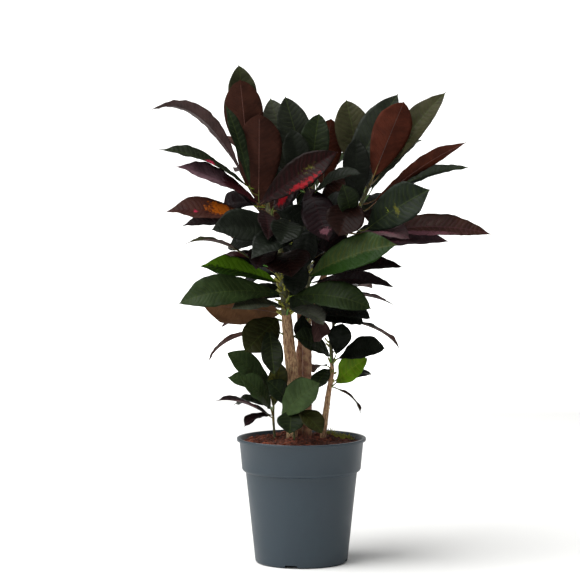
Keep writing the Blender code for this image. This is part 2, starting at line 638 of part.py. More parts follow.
def box_of(points):
    """The lowest and the highest corner of these points' box."""
    low = Vector(min(point[axis] for point in points) for axis in range(3))
    high = Vector(max(point[axis] for point in points) for axis in range(3))
    return low, high


def boxes_meet(first, second):
    return all(first[0][axis] <= second[1][axis] and second[0][axis] <= first[1][axis] for axis in range(3))


class Crowd:
    """Everything placed so far, to keep a new leaf clear of it."""

    def __init__(self):
        self.solids = []

    def add_solid(self, made):
        """Adds a stem, the pot or the soil. A stem's own petioles may run into it, but not their blades."""
        points = [vertex.co.copy() for vertex in made.data.vertices]
        faces = [tuple(face.vertices) for face in made.data.polygons]
        self.solids.append((made.name, box_of(points), BVHTree.FromPolygons(points, faces), None))

    def add_leaf(self, node, leaf):
        points = leaf.points()
        whole = BVHTree.FromPolygons(points, WHOLE_LEAF, all_triangles=True)
        blade = BVHTree.FromPolygons(points, BLADE_ONLY, all_triangles=True)
        self.solids.append((node, box_of(points), whole, blade))

    def crossings(self, node, leaf):
        """How many other nodes' solids and how many of its own node's this leaf would cross."""
        layers = [leaf.points(lift, CLEAR / 2) for lift in (-CLEAR, 0, CLEAR)]
        points = [point for layer in layers for point in layer]
        count = len(layers[0])
        trees = []
        for faces in (WHOLE_LEAF, BLADE_ONLY):
            stacked = [tuple(i + count * layer for i in face) for layer in range(3) for face in faces]
            trees.append(BVHTree.FromPolygons(points, stacked, all_triangles=True))
        new_whole, new_blade = trees
        box = box_of(points)
        others = own = 0
        for other, other_box, whole, blade in self.solids:
            if not boxes_meet(box, other_box):
                continue
            if other != node:
                others += bool(new_whole.overlap(whole))
            elif new_blade.overlap(whole) or (blade and new_whole.overlap(blade)):
                own += 1
        return others, own

    def settle(self, node, choices):
        """Adds the first choice that crosses nothing, else the one that crosses its own node's the least."""
        best, fewest = None, math.inf
        for leaf in choices:
            if leaf.doubles_back():
                continue
            others, own = self.crossings(node, leaf)
            if others == 0 and own < fewest:
                best, fewest = leaf, own
            if fewest == 0:
                break
        if best is not None:
            self.add_leaf(node, best)
        return best


def root_on(route, base):
    """Where a leaf's petiole leaves its stem: below the nearest point, so that it rises outwards."""
    travelled, nearest, reach = 0, 0, math.inf
    for start, end in zip(route, route[1:]):
        along = end - start
        share = min(1, max(0, (base - start).dot(along) / along.length_squared))
        distance = (start + along * share - base).length
        if distance < reach:
            nearest, reach = travelled + along.length * share, distance
        travelled += along.length
    lowest, highest = ROOT_MARGIN, travelled - ROOT_MARGIN
    fall = max(ROOT_FALL * reach, math.sqrt(max(0, SHORTEST_PETIOLE**2 - reach**2)))
    return route_point(route, min(highest, max(lowest, nearest - fall)) / travelled)


def seen_leaf_choices(route, row):
    """A leaf as the front view shows it, then the same outline at other depths and slight rolls."""
    base, tip, width, arch, facing = row
    tip_shifts = (0, -1, 1, -2, 2, -3, 3, -4, 4, -5, 5, -6, 6)
    rolls = (0, 12, -12, 24, -24)
    base_shifts = (0, -1, 1, -2, 2)
    choices = itertools.product(tip_shifts, rolls, base_shifts)
    for tip_shift, roll, base_shift in sorted(choices, key=lambda c: abs(c[0]) + abs(c[1]) / 6 + abs(c[2])):
        base_point = seen_at((base[0], base[1], base[2] + base_shift))
        tip_point = seen_at((tip[0], tip[1], tip[2] + tip_shift))
        root = root_on(route, base_point)
        yield Leaf(root, base_point, tip_point, width * CM, arch * CM, facing, math.radians(roll))


def hidden_leaf_choices(route, index, rule):
    """A leaf behind the front ones, set round its shoot by the golden share, then nearby directions."""
    count, low, high, first, last = rule
    rise_share = (index + 0.5) / count
    root = route_point(route, low + (high - low) * rise_share)
    compass = first + (last - first) * (index * GOLDEN_SHARE % 1)
    steepness = LOWEST_RISE + (HIGHEST_RISE - LOWEST_RISE) * rise_share**RISE_BEND
    length = HIDDEN_LENGTH + HIDDEN_LENGTHENING * (index * LENGTH_STEP % 1)
    turns = (0, 6, -6, 12, -12, 18, -18)
    lifts = (0, -8, 8, -16, 16, -24, -32)
    for turn, lift in sorted(itertools.product(turns, lifts), key=lambda c: abs(c[0]) + abs(c[1])):
        across = math.radians(compass + turn)
        rise = math.radians(steepness + lift)
        out = Vector((math.cos(across) * math.cos(rise), math.sin(across) * math.cos(rise), math.sin(rise)))
        base = root + out * HIDDEN_PETIOLE + Vector((0, 0, HIDDEN_LIFT))
        facing = (-math.cos(across), 1.25, -math.sin(across))
        yield Leaf(root, base, base + out * length, HIDDEN_WIDTH, HIDDEN_ARCH, facing)


def place_leaves(routes, standing):
    """Every shoot's leaves, each one clear of the standing pieces and of the leaves before it."""
    crowd = Crowd()
    for made in standing:
        crowd.add_solid(made)
    leaves = {name: [] for name in (*OUTER_LEAVES, *HIDDEN_LEAVES)}
    for name, rows in (*OUTER_LEAVES.items(), *INNER_LEAVES.items()):
        for row in rows:
            leaves[name].append(crowd.settle(name, seen_leaf_choices(routes[name], row)))
    for name, rule in HIDDEN_LEAVES.items():
        for index in range(rule[0]):
            leaves[name].append(crowd.settle(name, hidden_leaf_choices(routes[name], index, rule)))
    return {name: [leaf for leaf in grown if leaf] for name, grown in leaves.items()}


def leaf_solid(leaf, collection):
    """The leaf as a thin closed solid, thicker along its petiole."""
    shape = bmesh.new()
    stations = len(BLADE_STATIONS)
    bmesh.ops.create_grid(shape, x_segments=stations, y_segments=2, size=1)
    places = leaf.points()
    petiole = []
    for vertex in shape.verts:
        station = round((vertex.co.x + 1) / 2 * stations)
        vertex.co = places[3 * station + round(vertex.co.y) + 1]
        if station < 2:
            petiole.append(vertex.index)
    bmesh.ops.triangulate(shape, faces=shape.faces)
    made = object_of("leaf", shape, collection)
    thickness = made.vertex_groups.new(name="thickness")
    thickness.add(range(len(places)), BLADE_THICKNESS / PETIOLE_THICKNESS, "REPLACE")
    thickness.add(petiole, 1, "REPLACE")
    wall = made.modifiers.new("Solidify", "SOLIDIFY")
    wall.thickness = PETIOLE_THICKNESS
    wall.offset = 0
    wall.vertex_group = thickness.name
    return as_solid(made)


def finish(parts):
    """Gives every piece its material and a common parent."""
    root = new_object("potted_croton", None, parts)
    finishes = {kind: principled(kind, *finish) for kind, finish in FINISHES.items()}
    for made in parts.objects:
        if made.type == "MESH":
            made.parent = root
            made.data.shade_smooth()
            made.data.set_sharp_from_angle(angle=math.radians(40))
            made.data.materials.append(finishes[made.name.split("_")[0]])


def main():
    for made in list(bpy.data.objects):
        bpy.data.objects.remove(made)
    parts = new_collection("potted_croton")
    cutters = new_collection("cutters")
    routes = stem_routes()

    make_pot(parts, cutters)
    add_stem_holes(routes, cutters)
    make_soil(parts, cutters)
    make_stems(routes, parts, cutters)

    for name, grown in place_leaves(routes, list(parts.objects)).items():
        for leaf in grown:
            leaf_solid(leaf, cutters)
        drop_scraps(boolean(bpy.data.objects[name], "UNION", cutters))
    finish(parts)


main()
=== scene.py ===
"""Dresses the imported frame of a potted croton: pot, soil, bark, leafy shoots and a studio stage.

Metres, +Z up. The origin is on the pot's axis, at the surface that the pot stands on. The front view
looks along +Y, so a larger Y, or depth, lies further back.
"""

import bisect
import itertools
import math
import random
from collections import namedtuple

import bmesh
import bpy
from bpy.props import FloatProperty, FloatVectorProperty, IntProperty, PointerProperty
from mathutils import Matrix, Vector, noise
from mathutils.bvhtree import BVHTree


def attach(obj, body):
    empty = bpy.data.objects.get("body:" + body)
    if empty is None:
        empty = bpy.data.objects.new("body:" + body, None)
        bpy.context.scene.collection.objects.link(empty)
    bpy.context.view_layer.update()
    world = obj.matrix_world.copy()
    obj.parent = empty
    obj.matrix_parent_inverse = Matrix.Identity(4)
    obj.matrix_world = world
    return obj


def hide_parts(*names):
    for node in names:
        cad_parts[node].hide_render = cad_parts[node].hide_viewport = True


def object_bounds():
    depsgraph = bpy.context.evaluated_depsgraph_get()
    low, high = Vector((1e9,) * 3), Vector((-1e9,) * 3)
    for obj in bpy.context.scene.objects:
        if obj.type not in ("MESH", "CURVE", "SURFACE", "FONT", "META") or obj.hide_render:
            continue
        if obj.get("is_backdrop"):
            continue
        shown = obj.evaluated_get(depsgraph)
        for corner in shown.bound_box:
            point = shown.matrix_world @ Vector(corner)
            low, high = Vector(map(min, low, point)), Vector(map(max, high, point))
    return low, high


bl_info = {
    "name": "Potted croton",
    "version": (1, 0, 0),
    "blender": (4, 5, 0),
    "location": "View3D > Sidebar > Croton",
    "description": "Builds the finished pieces of a potted croton around its frame",
    "category": "Object",
}

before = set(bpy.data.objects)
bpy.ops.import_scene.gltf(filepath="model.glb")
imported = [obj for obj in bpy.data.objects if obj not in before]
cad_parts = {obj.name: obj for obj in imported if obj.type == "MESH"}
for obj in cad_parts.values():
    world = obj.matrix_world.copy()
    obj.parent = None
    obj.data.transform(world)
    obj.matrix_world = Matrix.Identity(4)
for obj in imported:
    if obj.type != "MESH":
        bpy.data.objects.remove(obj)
CAD_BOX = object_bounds()

CM = 0.01
MM = 0.001

# Points nearer to each other than this are one point.
TOUCH = 0.01 * MM

# Clearance between pieces that touch.
GAP = 0.35 * MM

# Pot. Radii are outer ones, heights are above the surface that it stands on.
POT_HEIGHT = 203 * MM
POT_WALL = 1.6 * MM
LIP_RADIUS = 105 * MM
LIP_HEIGHT = 4.5 * MM
LIP_ROUND = 1.2 * MM
BAND_TOP_RADIUS = 100.8 * MM
BAND_FOOT_RADIUS = 96.8 * MM
BAND_FOOT = 154.5 * MM
BODY_TOP_RADIUS = 90.9 * MM
BODY_TOP = 147 * MM
BODY_FOOT_RADIUS = 75.4 * MM
FOOT_ROUND = 4.5 * MM
FOOT_WIDTH = 3.5 * MM
FLOOR_RAISE = 4.4 * MM
FLOOR_THICKNESS = 2 * MM
FLOOR_ROUND = 2 * MM
SHARP_ANGLE = math.radians(50)

# The pot's rim and step in their finest form: small bevels and slopes, and the mesh steps of each rounding.
RIM_BREAK = 0.5 * MM
LIP_DRAFT = 0.15 * MM
LIP_BREAK = 0.3 * MM
LIP_FILLET = 0.6 * MM
BAND_EASING = 1 * MM
NECK_DRAFT = 0.4 * MM
NECK_DROP = 1.6 * MM
ROUND_STEPS = 6
SHOULDER_STEPS = 8

# Notches through the foot ring, and drain holes through the raised floor.
NOTCH_COUNT = 4
NOTCH_TURN = math.radians(-103)
NOTCH_WIDTH = 24 * MM
NOTCH_HEIGHT = 5.2 * MM
NOTCH_TAPER = 0.78
DRAIN_COUNT = 8
DRAIN_RADIUS = 4 * MM
DRAIN_CIRCLE = 50 * MM
DRAIN_SIDES = 24

# Soil. Faces above this height whose upward share is more than this make its upper side. They are cut finer
# until no edge is longer than the last of these. Waves of these heights and lengths, all in mm, then roughen
# them and fade out towards the pot's wall. A point with a steeper face at it stays in its place.
SOIL_EDGE = 194 * MM
UPPER_SIDE_FROM = 190 * MM
UPPER_SIDE_FACING = 0.5
STEEPEST_FACING = 0.3
LONGEST_EDGES = (24, 12, 7, 4.5, 3.2)
SOIL_WAVES = ((1.3, 9), (0.9, 3.5), (0.5, 1.6))
SOIL_ROUGHNESS = 1.1 * MM
SOIL_FADE = 6 * MM

# What is strewn on the soil falls from this height, lands at most this far under the soil's edge, and keeps
# this far from the pot's wall.
DROP_HEIGHT = 300 * MM
DEEPEST_LANDING = 4 * MM
CRUMB_MARGIN = 6 * MM
FIBRE_MARGIN = 12 * MM

# Crumbs: how far they are drawn out along, across and upwards, how far they lean, how high they sit, how
# uneven they are, and the middle and spread of their sizes. Moss has crumbs of these sizes in mm.
CRUMB_STRETCH = ((0.7, 1.5), (0.6, 1.1), (0.5, 0.9))
CRUMB_LEAN = 0.5
CRUMB_RISE = 0.2
CRUMB_UNEVEN = 0.12
CRUMB_SIZES = (-0.3, 0.5)
MOSS_CRUMBS = (1.5, 3.2)

# Strands on the soil: the shortest and longest in mm, how they climb for each step outwards, and their
# thickness in mm.
Strand = namedtuple("Strand", "shortest longest climb thick")
FIBRE = Strand(8, 26, 0.25, 0.35)
MOSS = Strand(4, 11, 1.6, 0.9)
SPROUT = Strand(9, 17, 2.0, 1.0)
STRAND_BEND = 0.2

# Where moss and sprouts grow on the soil, and how far they spread.
MOSS_PLACE = Vector((70, 24, 0)) * MM
MOSS_REACH = 16 * MM
SPROUT_PLACE = Vector((50, 46, 0)) * MM
SPROUT_REACH = 15 * MM

# Where the draws of each kind of piece start. A shoot's start from its place in the order of the shoots.
SEEDS = {"crumbs": 11, "litter": 23, "bark": 5}

# Stems. A cutting is woody up to its top, and its leafy shoot is seated on that.
STEM_FOOT = 16.5
STEM_STEP = 1.8 * CM
SEAT_RUN = 5 * MM
SEAT_DEPTH = 1.5 * MM
KNOBS = 0.07
KNOB_STEP = 2.4

# Bark in its finest form: waves with their height, how often they go round, and their length; the rings that
# dropped leaves leave; and how far it lies inside the frame's stem, so that its bumps come up to it.
BARK_WAVES = ((0.6, 1.6, 9 * MM), (0.7, 5, 7 * MM))
RING_STEP = 11 * MM
RING_WIDTH = 0.09
RING_HEIGHT = 0.5
BARK_INSET = 0.97

# Mesh steps along and round the bark, and on the cuttings and the prong how many leaf scars there are and
# the span that bears them. A scar's length and width have these limits, and its height is the last, in mm.
# It sits at this share of the stem's radius, and anywhere on this share of its own part of the span.
BARK_STEP = 1.6 * MM
CUTTING_BARK = (36, 14, 0.2, 0.97)
PRONG_BARK = (24, 8, 0.1, 0.95)
SCAR_SIZES = ((1.8, 2.8), (1.3, 1.9), 0.9)
SCAR_SEAT = 0.96
SCAR_SPREAD = 0.7

# A shoot's smoother skin, with its mesh steps along and round.
SHOOT_ROUGHNESS = 0.25 * MM
SHOOT_STEP = 2.5 * MM
SHOOT_SIDES = 16

# Stubs of petioles: how many and on which span of the shoot, then limits of their length as a share of the
# longest, of their climb, of their radius in mm and of their tone. A stub bends, is sunk into the bark, and
# swells at its foot.
BARE_SHOOT = "shoot_left"
MANY_STUBS = (105, 0.15, 0.46)
FEW_STUBS = (10, 0.05, 0.7)
STUB_LENGTHS = (0.35, 1.0)
STUB_CLIMBS = (0.3, 1.2)
STUB_RADII = (1.2, 1.8)
STUB_TONES = (0.7, 1.3)
STUB_BEND = 0.12
STUB_SUNK = 0.8
STUB_SWELLING = 0.5
SWELLING_LENGTH = 3 * MM

# Leaves, as the frame places them.
ROOT_MARGIN = 4 * MM
ROOT_FALL = 0.45
SHORTEST_PETIOLE = 15 * MM
SHARPEST_BEND = 0.15
PETIOLE_HALF_WIDTH = 1.2 * MM
TIP_HALF_WIDTH = 0.6 * MM
FOLD = 0.24
BROADEST_SHIFT = 1.3
BLUNTNESS = 0.54
BROAD_RATIO = 0.42
NARROW_POINT = 2.2
SMALL_LEAF = 9 * CM
SMALL_POINT = 0.6
WAVE = 1.5 * MM
WAVE_STEP = 2.3
WAVE_SIDE = 1.7
WAVE_SPREAD = 60
LEAN = 1.2
BLADE_STATIONS = (0.0, 0.16, 0.38, 0.64, 0.86, 1.0)
CLEAR = 2.2 * MM

# A leaf that would cross another is tried at other depths of its tip and base (cm) and rolls (degrees).
TIP_SHIFTS = (0, -1, 1, -2, 2, -3, 3, -4, 4, -5, 5, -6, 6)
BASE_SHIFTS = (0, -1, 1, -2, 2)
ROLLS = (0, 12, -12, 24, -24)

# The front view is taken from an eye this far from the pot's axis and this high.
EYE_DISTANCE = 4.0
EYE_HEIGHT = 0.73

# Which way a leaf's upper side faces: sideways, up and back, as seen from the front.
UP = (0, 1, 0)
FRONT = (0, 0.1, -1)
BACK = (0, 0.1, 1)
HALF = (0, 1, -0.6)
OPEN = (0, 0.8, -1)

# Round floor that curves up into a seamless sweep.
FLOOR_RADIUS = 5.0
SWEEP_RADIUS = 5.0
SWEEP_END = -20
SWEEP_STEPS = 16
SWEEP_SIDES = 96

# Studio lights: place, aim, size, and the stage setting and the share of it that give the power.
LIGHTS = {
    "top": ((-1.4, -0.6, 4.0), (0, 0, 0.4), 4.0, "key", 1),
    "side": ((-3.6, -2.2, 1.9), (0, 0, 0.4), 3.4, "key", 0.22),
    "backdrop": ((0, 3.2, 3.2), (0, 9.0, 1.0), 4.0, "backdrop", 1),
}

# Camera, as the photograph was taken.
SENSOR_WIDTH = 36
LENS = 153.7
CAMERA_SHIFT = -0.0197
CAMERA_PITCH = math.radians(4.1)
CAMERA_RANGE = 50

# Outline of a blade in its finest form: the share of its length that its body fills, where its shoulder is,
# how hollow its point is, how steeply a leaf stands before its tip turns blunt, and how pointed an upright
# and a slanting leaf are at least and at most.
BODY_SHARE = 0.965
SHOULDER = 0.74
POINT_CURVE = 1.15
UPRIGHT = 0.85
UPRIGHT_POINTS = (0, 0.4)
SLANTING_POINTS = (0.4, 1)

# Its edge: how the waves grow towards it, and how often ripples come along and across the blade.
EDGE_GROWTH = 1.6
RIPPLES_ALONG = 0.9
RIPPLES_ACROSS = 1.3

# Its narrow ends: the share of the frame's tip and petiole that each keeps, how fast each fades, and the
# thinnest. The mesh steps are partly crowded towards the ends and partly even.
TIP_KEEPS = 0.7
TIP_FADE = 0.3
FOOT_KEEPS = 0.5
FOOT_FADE = 8
THINNEST = 0.05 * MM
CROWDED_STEPS = 0.55
EVEN_STEPS = 0.45

# How much a leaf's tone, and each of its red, green and blue, may differ from its finish.
LEAF_TONES = (0.85, 1.15)
LEAF_TINTS = (0.94, 1.06)

# Petiole and midrib: mesh steps of each, how far the petiole starts and ends in line with stem and blade and
# bows outwards, its swelling at the root and its taper; then the share of the blade that the midrib reaches,
# how far it lies under the blade, how fast it takes on its own thickness, its taper, and how far the
# petiole's colour runs on into it.
PETIOLE_STEPS = 8
MIDRIB_STEPS = 16
RIB_RINGS = 30
RIB_SIDES = 8
PETIOLE_START = 0.35
PETIOLE_END = 0.2
PETIOLE_BOW = 0.08
PULVINUS = 0.6
PULVINUS_LENGTH = 7 * MM
PETIOLE_TAPER = 0.25
MIDRIB_REACH = 0.95
MIDRIB_DROP = 0.9
MIDRIB_EASING = 4
MIDRIB_TAPER = 0.6
RIB_FADE = 2.5 * CM

# Side veins on a blade, in cm: how far they slant and bend forwards, how far they wander, and their width.
# The midrib fades between the next two figures. The last two are how much both show on each side.
VEIN_BEND = 0.09
VEIN_SLANT = 0.42
VEIN_WANDER = 2.2
VEIN_WIDTH = 0.055
MIDRIB_EDGES = (0.03, 0.1)
UPPER_VEINS = 0.36
LOWER_VEINS = 0.4

# A shoot is bark-covered up to this height, and higher or lower by up to the spread, in patches of this size.
WOODY_UP_TO = {
    "shoot_left": 40.4 * CM, "shoot_middle": 41 * CM, "shoot_right": 51 * CM, "shoot_back": 50 * CM,
    "shoot_twig": 32.5 * CM,
}
WOODY_SPREAD = 14 * MM
WOODY_PATCH = 5 * MM

# Routes of the stems, as front-view sideways position, height and depth in cm.
LEFT_ROUTE = [
    (-1.7, STEM_FOOT, -1), (-1.45, 24, -1), (-1.4, 29.5, -1), (-1.75, 33, -1), (-2.05, 36, -1),
]
LEFT_SHOOT = [
    (-2.35, 39.5, -1), (-2.6, 43, -1), (-3.0, 46, -1), (-3.4, 50, -1),
    (-4.5, 55, -1), (-6, 59, -0.5), (-7.2, 62, 0),
]
MIDDLE_ROUTE = [(1.0, STEM_FOOT, 0.8), (0.9, 24, 0.7), (0.9, 31, 0.6), (0.9, 36.5, 0.7)]
MIDDLE_SHOOT = [(0.85, 40, 0.9), (0.8, 44, 1), (1.2, 52, 1.5), (1.8, 58, 2), (2, 62, 2)]
BACK_ROUTE = [(-0.4, STEM_FOOT, 3), (-0.3, 28, 3.2), (-0.2, 35, 3.3), (2.3, 43.5, 3.5), (5, 49.4, 3)]
BACK_PRONG = [(-0.2, 35.8, 3.3), (-0.3, 39.5, 3.8), (-0.4, 43, 4.6), (-0.6, 48, 6)]
RIGHT_SHOOT = [(7, 53, 2), (9.5, 58, 1), (11.3, 62, 0.5)]
BACK_SHOOT = [(-1, 52, 7), (-1.8, 56.5, 8), (-2.2, 60, 8.5)]
TWIG_ROUTE = [(3.3, STEM_FOOT, -0.5), (3.6, 21.5, -0.5), (4.4, 27.5, -0.4)]
TWIG_SHOOT = [(5.0, 31, -0.4), (4.9, 33.5, -0.3), (4.7, 36, 0), (5.2, 38.5, 0.3), (5.0, 41, 0.5)]
LEFT_SUCKER = [(-4.1, STEM_FOOT, -1.5), (-4.4, 21, -1.5), (-4.6, 24, -1.5), (-4.4, 27.5, -1.5)]
FRONT_SUCKER = [(-1.2, STEM_FOOT, -3.2), (-1.2, 21, -3.4), (-1.3, 24, -3.8), (-1.0, 26.5, -4)]

# Each stem: what carries it, its route, its radii at the foot and at the top in mm, and how many sides
# its round has. The prong is the back cutting's second branch and is fused into it.
STEMS = {
    "trunk_left": ("soil", LEFT_ROUTE, 9.8, 9.8, 10),
    "trunk_middle": ("soil", MIDDLE_ROUTE, 8.4, 8.0, 10),
    "trunk_back": ("soil", BACK_ROUTE, 7.4, 4.6, 8),
    "prong": ("trunk_back", BACK_PRONG, 4.6, 4.2, 8),
    "trunk_right": ("soil", TWIG_ROUTE, 6.0, 4.4, 8),
    "shoot_left": ("trunk_left", LEFT_SHOOT, 9.8, 3, 8),
    "shoot_middle": ("trunk_middle", MIDDLE_SHOOT, 8.0, 2.8, 8),
    "shoot_right": ("trunk_back", RIGHT_SHOOT, 4.6, 2.8, 8),
    "shoot_back": ("prong", BACK_SHOOT, 4.2, 2.6, 8),
    "shoot_twig": ("trunk_right", TWIG_SHOOT, 4.4, 2, 8),
    "sucker_left": ("soil", LEFT_SUCKER, 2.4, 1.8, 6),
    "sucker_front": ("soil", FRONT_SUCKER, 2.4, 1.8, 6),
}

# Leaves of each stem: base of the blade, tip, full width, arch, the way the upper side faces, and the finish.
# Base and tip are front-view sideways position, height and depth, and all lengths are in cm.
OUTER_LEAVES = {
    "shoot_left": [
        ((-6.9, 58.6, -1.7), (-6.8, 73, -2.8), 7.4, 0.8, BACK, "maroon"),
        ((-8.6, 65.4, 0), (-9.9, 78.5, -0.4), 6.4, 0.5, BACK, "maroon"),
        ((-8.8, 69, 2.5), (-10.1, 80.8, 2.2), 4.7, 0.6, (0.1, 0.2, -1), "olive_grey"),
        ((-8.2, 60.5, -1.1), (-12.3, 74.4, -1.1), 2.6, 0.8, (0.6, 0.2, -1), "green"),
        ((-8.8, 61.2, -0.6), (-24.3, 73.4, -1), 5.4, 4.4, (0, 1, 0.35), "purple"),
        ((-8.5, 61, -2), (-23.3, 67, -4), 4.4, 1.4, (0, 1, -0.35), "slate_spot"),
        ((-7, 58.3, -3), (-20.4, 64.3, -6), 5.4, 1.0, (0, 1, -0.8), "sheen"),
        ((-7.5, 58, -1.5), (-15.3, 62.2, -1), 4.6, 0.8, (0, 1, -0.2), "deep"),
        ((-7.2, 55.4, -4), (-21.9, 57, -8), 5.2, 1.2, (0, 1, -0.8), "sunset"),
        ((-6.5, 54.4, -2.6), (-19.5, 54.6, -4.6), 4.4, 1.0, (0, 1, -0.4), "pink_edge"),
        ((-2.4, 53.6, -4), (-14.6, 54.1, -9.5), 6.6, 0.8, (-0.1, 0.8, -1), "black"),
        ((-7.4, 48.9, -1.5), (-19, 51.7, -2), 4.0, 1.6, UP, "olive"),
        ((-3.5, 46.5, 1.5), (-13.2, 49.8, 3), 4.4, 1.0, (0, 1, 0.3), "deep"),
        ((-4, 45.6, -1), (-16.5, 48.2, -3), 5.0, 0.8, (0, 1, -0.7), "lime"),
        ((-3.2, 43.7, -2), (-20, 42, -7), 6.0, 2.2, OPEN, "leafy"),
        ((-3.4, 40.6, 1), (-15.9, 41.6, 1.5), 6.6, 1.0, (0, 0.25, 1), "tan"),
        ((-3, 39.3, 2.5), (-13.1, 38.2, 5), 4.4, 1.0, UP, "deep"),
        ((-3, 41.6, -3), (-11.4, 41.2, -9), 4.4, 0.8, (0, 1, -0.6), "grey"),
        ((-3.8, 39.6, -0.8), (-9.2, 34.2, -6), 5.8, 0.8, (0.4, 0.7, -1), "dark_olive"),
        ((-4.5, 37.8, 0.5), (-15.1, 32.7, 1), 4.2, 1.6, (0, 1, 0.1), "brown"),
        ((-5.2, 38, -2), (-4.4, 30.4, -5.5), 3.6, 0.8, (0, 0.5, -1), "green"),
        ((-7, 58, -4.6), (6, 66.8, -7), 5.2, 1.0, (-0.3, 0.25, -1), "red_edge"),
        ((-1.6, 43.4, -4), (11.4, 41.2, -9), 5.4, 1.8, OPEN, "leafy"),
        ((-2, 41.2, -4), (3.6, 38.6, -10), 4.4, 1.0, (0.1, 1, -0.45), "grey"),
    ],
    "shoot_middle": [
        ((0.8, 54.6, -3), (-8.2, 49.3, -9), 5.4, 1.0, (-0.3, 0.7, -1), "black"),
        ((1.2, 46.6, -4), (15.5, 51.7, -10), 6.4, 1.4, (-0.2, 0.7, -1), "bright"),
        ((0.5, 40.5, -1), (11.3, 39.6, -3), 4.4, 1.4, (0, 1, -0.7), "black"),
        ((0.5, 40, 1.6), (10.2, 38.8, 4), 4.4, 1.2, (0, 1, -0.3), "black"),
        ((1.5, 43, 2), (15.1, 41.8, 4), 4.0, 1.2, (0, 1, 0), "black"),
        ((1.5, 46.5, -1), (16.5, 48, -2), 4.4, 1.2, HALF, "deep"),
        ((1.5, 45.5, 1.4), (15, 44.8, 2.5), 4.4, 1.0, (0, 1, -0.5), "deep"),
        ((1.4, 59.4, -2), (9.6, 63.2, -7), 4.4, 1.0, (0, 1, -0.6), "black"),
        ((-0.8, 61, 2.6), (-5.1, 75.5, 3.4), 5.6, 1.0, FRONT, "grey"),
        ((1.4, 61.5, 3), (-2.7, 75.8, 1.8), 5.4, 1.0, FRONT, "blue"),
        ((1.5, 61, 0), (2.9, 73, -1), 5.0, 0.8, (-0.2, 0.1, -1), "green"),
        ((3.4, 61, 1), (4.8, 72.2, 2), 5.0, 0.8, BACK, "red_brown"),
        ((0.4, 60.5, -1), (-1.6, 70.4, -2.5), 4.4, 0.8, FRONT, "black"),
    ],
    "shoot_right": [
        ((10.6, 54.2, -3), (20.8, 60.6, -6.5), 6.8, 0.8, (-0.3, 0.4, -1), "spotted"),
        ((9.5, 53.5, -2), (17.5, 52.6, -9), 4.6, 1.2, (0, 1, -0.8), "mauve"),
        ((10.8, 57.5, -2.5), (27, 68.4, -4), 3.8, 1.0, (-0.4, 0.6, 0.6), "brown"),
        ((11, 58.5, -1), (27.2, 64.2, -1), 4.2, 1.2, (0, 1, -0.45), "green"),
        ((11.7, 62.8, -1.5), (16.6, 74.9, -2.5), 6.0, 0.8, BACK, "red_brown"),
        ((12.3, 62.5, 0), (23.4, 76.4, 0), 5.4, 0.8, (-0.6, 0.5, -1), "olive_grey"),
        ((10, 62, 2.2), (7.2, 75.2, 3.5), 5.8, 0.8, FRONT, "olive_grey"),
        ((7, 60.5, 0.6), (15.7, 76.2, 1.2), 6.0, 0.8, (-0.3, 0.2, -1), "blue"),
        ((8.8, 58, -0.6), (8.8, 69, -1), 4.4, 0.8, FRONT, "black"),
        ((7.5, 51, -1.5), (23.8, 52.2, -2), 5.0, 1.2, (0, 1, -0.7), "mauve"),
        ((9.5, 53.4, -0.5), (30.8, 53.3, -2.5), 5.2, 1.7, (0, 1, -0.9), "brown_pink"),
    ],
    "shoot_twig": [
        ((5.6, 29.2, -1), (10.8, 33.2, -4), 4.8, 0.6, (-0.5, 0.5, -1), "young"),
        ((5.5, 29.6, 0.8), (11.4, 30.6, 4), 3.6, 0.8, (0, 1, -0.6), "green"),
        ((5, 28.6, 1), (9.6, 24.3, 3), 1.6, 0.9, UP, "green"),
        ((4.6, 31.5, -1), (2.2, 28.1, -5), 3.0, 0.6, (0, 1, -0.6), "green"),
        ((4.2, 32, 0.8), (1.8, 30.8, 5), 3.0, 0.6, UP, "green"),
        ((4.6, 33.6, -1), (-1.4, 36.8, -5.5), 5.2, 0.8, (0, 1, -1), "green"),
        ((5.6, 33.8, -0.2), (6.7, 39, -1), 3.8, 0.6, FRONT, "black"),
        ((6, 33.2, -1.2), (13.6, 34.8, -4), 4.6, 1.0, (0, 1, -1), "black"),
        ((6, 39.6, 1), (16.2, 34.2, 2.5), 3.8, 1.4, UP, "green"),
    ],
    "sucker_left": [
        ((-4.8, 27.6, -2), (-12.2, 34.2, -4), 4.6, 0.8, (0.5, 0.8, -1), "sprout"),
        ((-5, 26.8, -1), (-12.1, 30.1, -0.5), 4.0, 0.8, HALF, "sprout"),
        ((-5, 25, -2.4), (-10, 30.2, -6), 4.4, 0.8, (0.4, 0.8, -1), "sprout"),
        ((-4.5, 25.4, -2.4), (-3.4, 32.6, -2.8), 3.2, 0.6, FRONT, "olive"),
        ((-5, 25.4, -1), (-11, 25.6, 0.8), 3.6, 0.8, (0, 1, -0.3), "green"),
        ((-4.8, 23.6, -2), (-14.1, 26.2, -4), 4.0, 1.0, UP, "deep"),
        ((-4.8, 24, -2.6), (-9.3, 22, -5), 2.6, 0.8, (0, 1, -0.3), "deep"),
    ],
    "sucker_front": [
        ((-3.2, 23.8, -4.8), (3, 29.2, -7), 5.6, 0.8, (-0.4, 0.5, -1), "sprout"),
        ((-1.6, 24.8, -5), (-1.9, 20.8, -8.8), 4.4, 0.8, (0, 0.4, -1), "green"),
        ((-0.8, 25, -5.6), (3.4, 20.9, -9), 3.8, 0.6, (0.3, 0.4, -1), "dark_olive"),
        ((-1.8, 25.4, -4.4), (-5.6, 29.6, -6.6), 3.6, 0.6, (0.4, 0.8, -1), "green"),
    ],
}

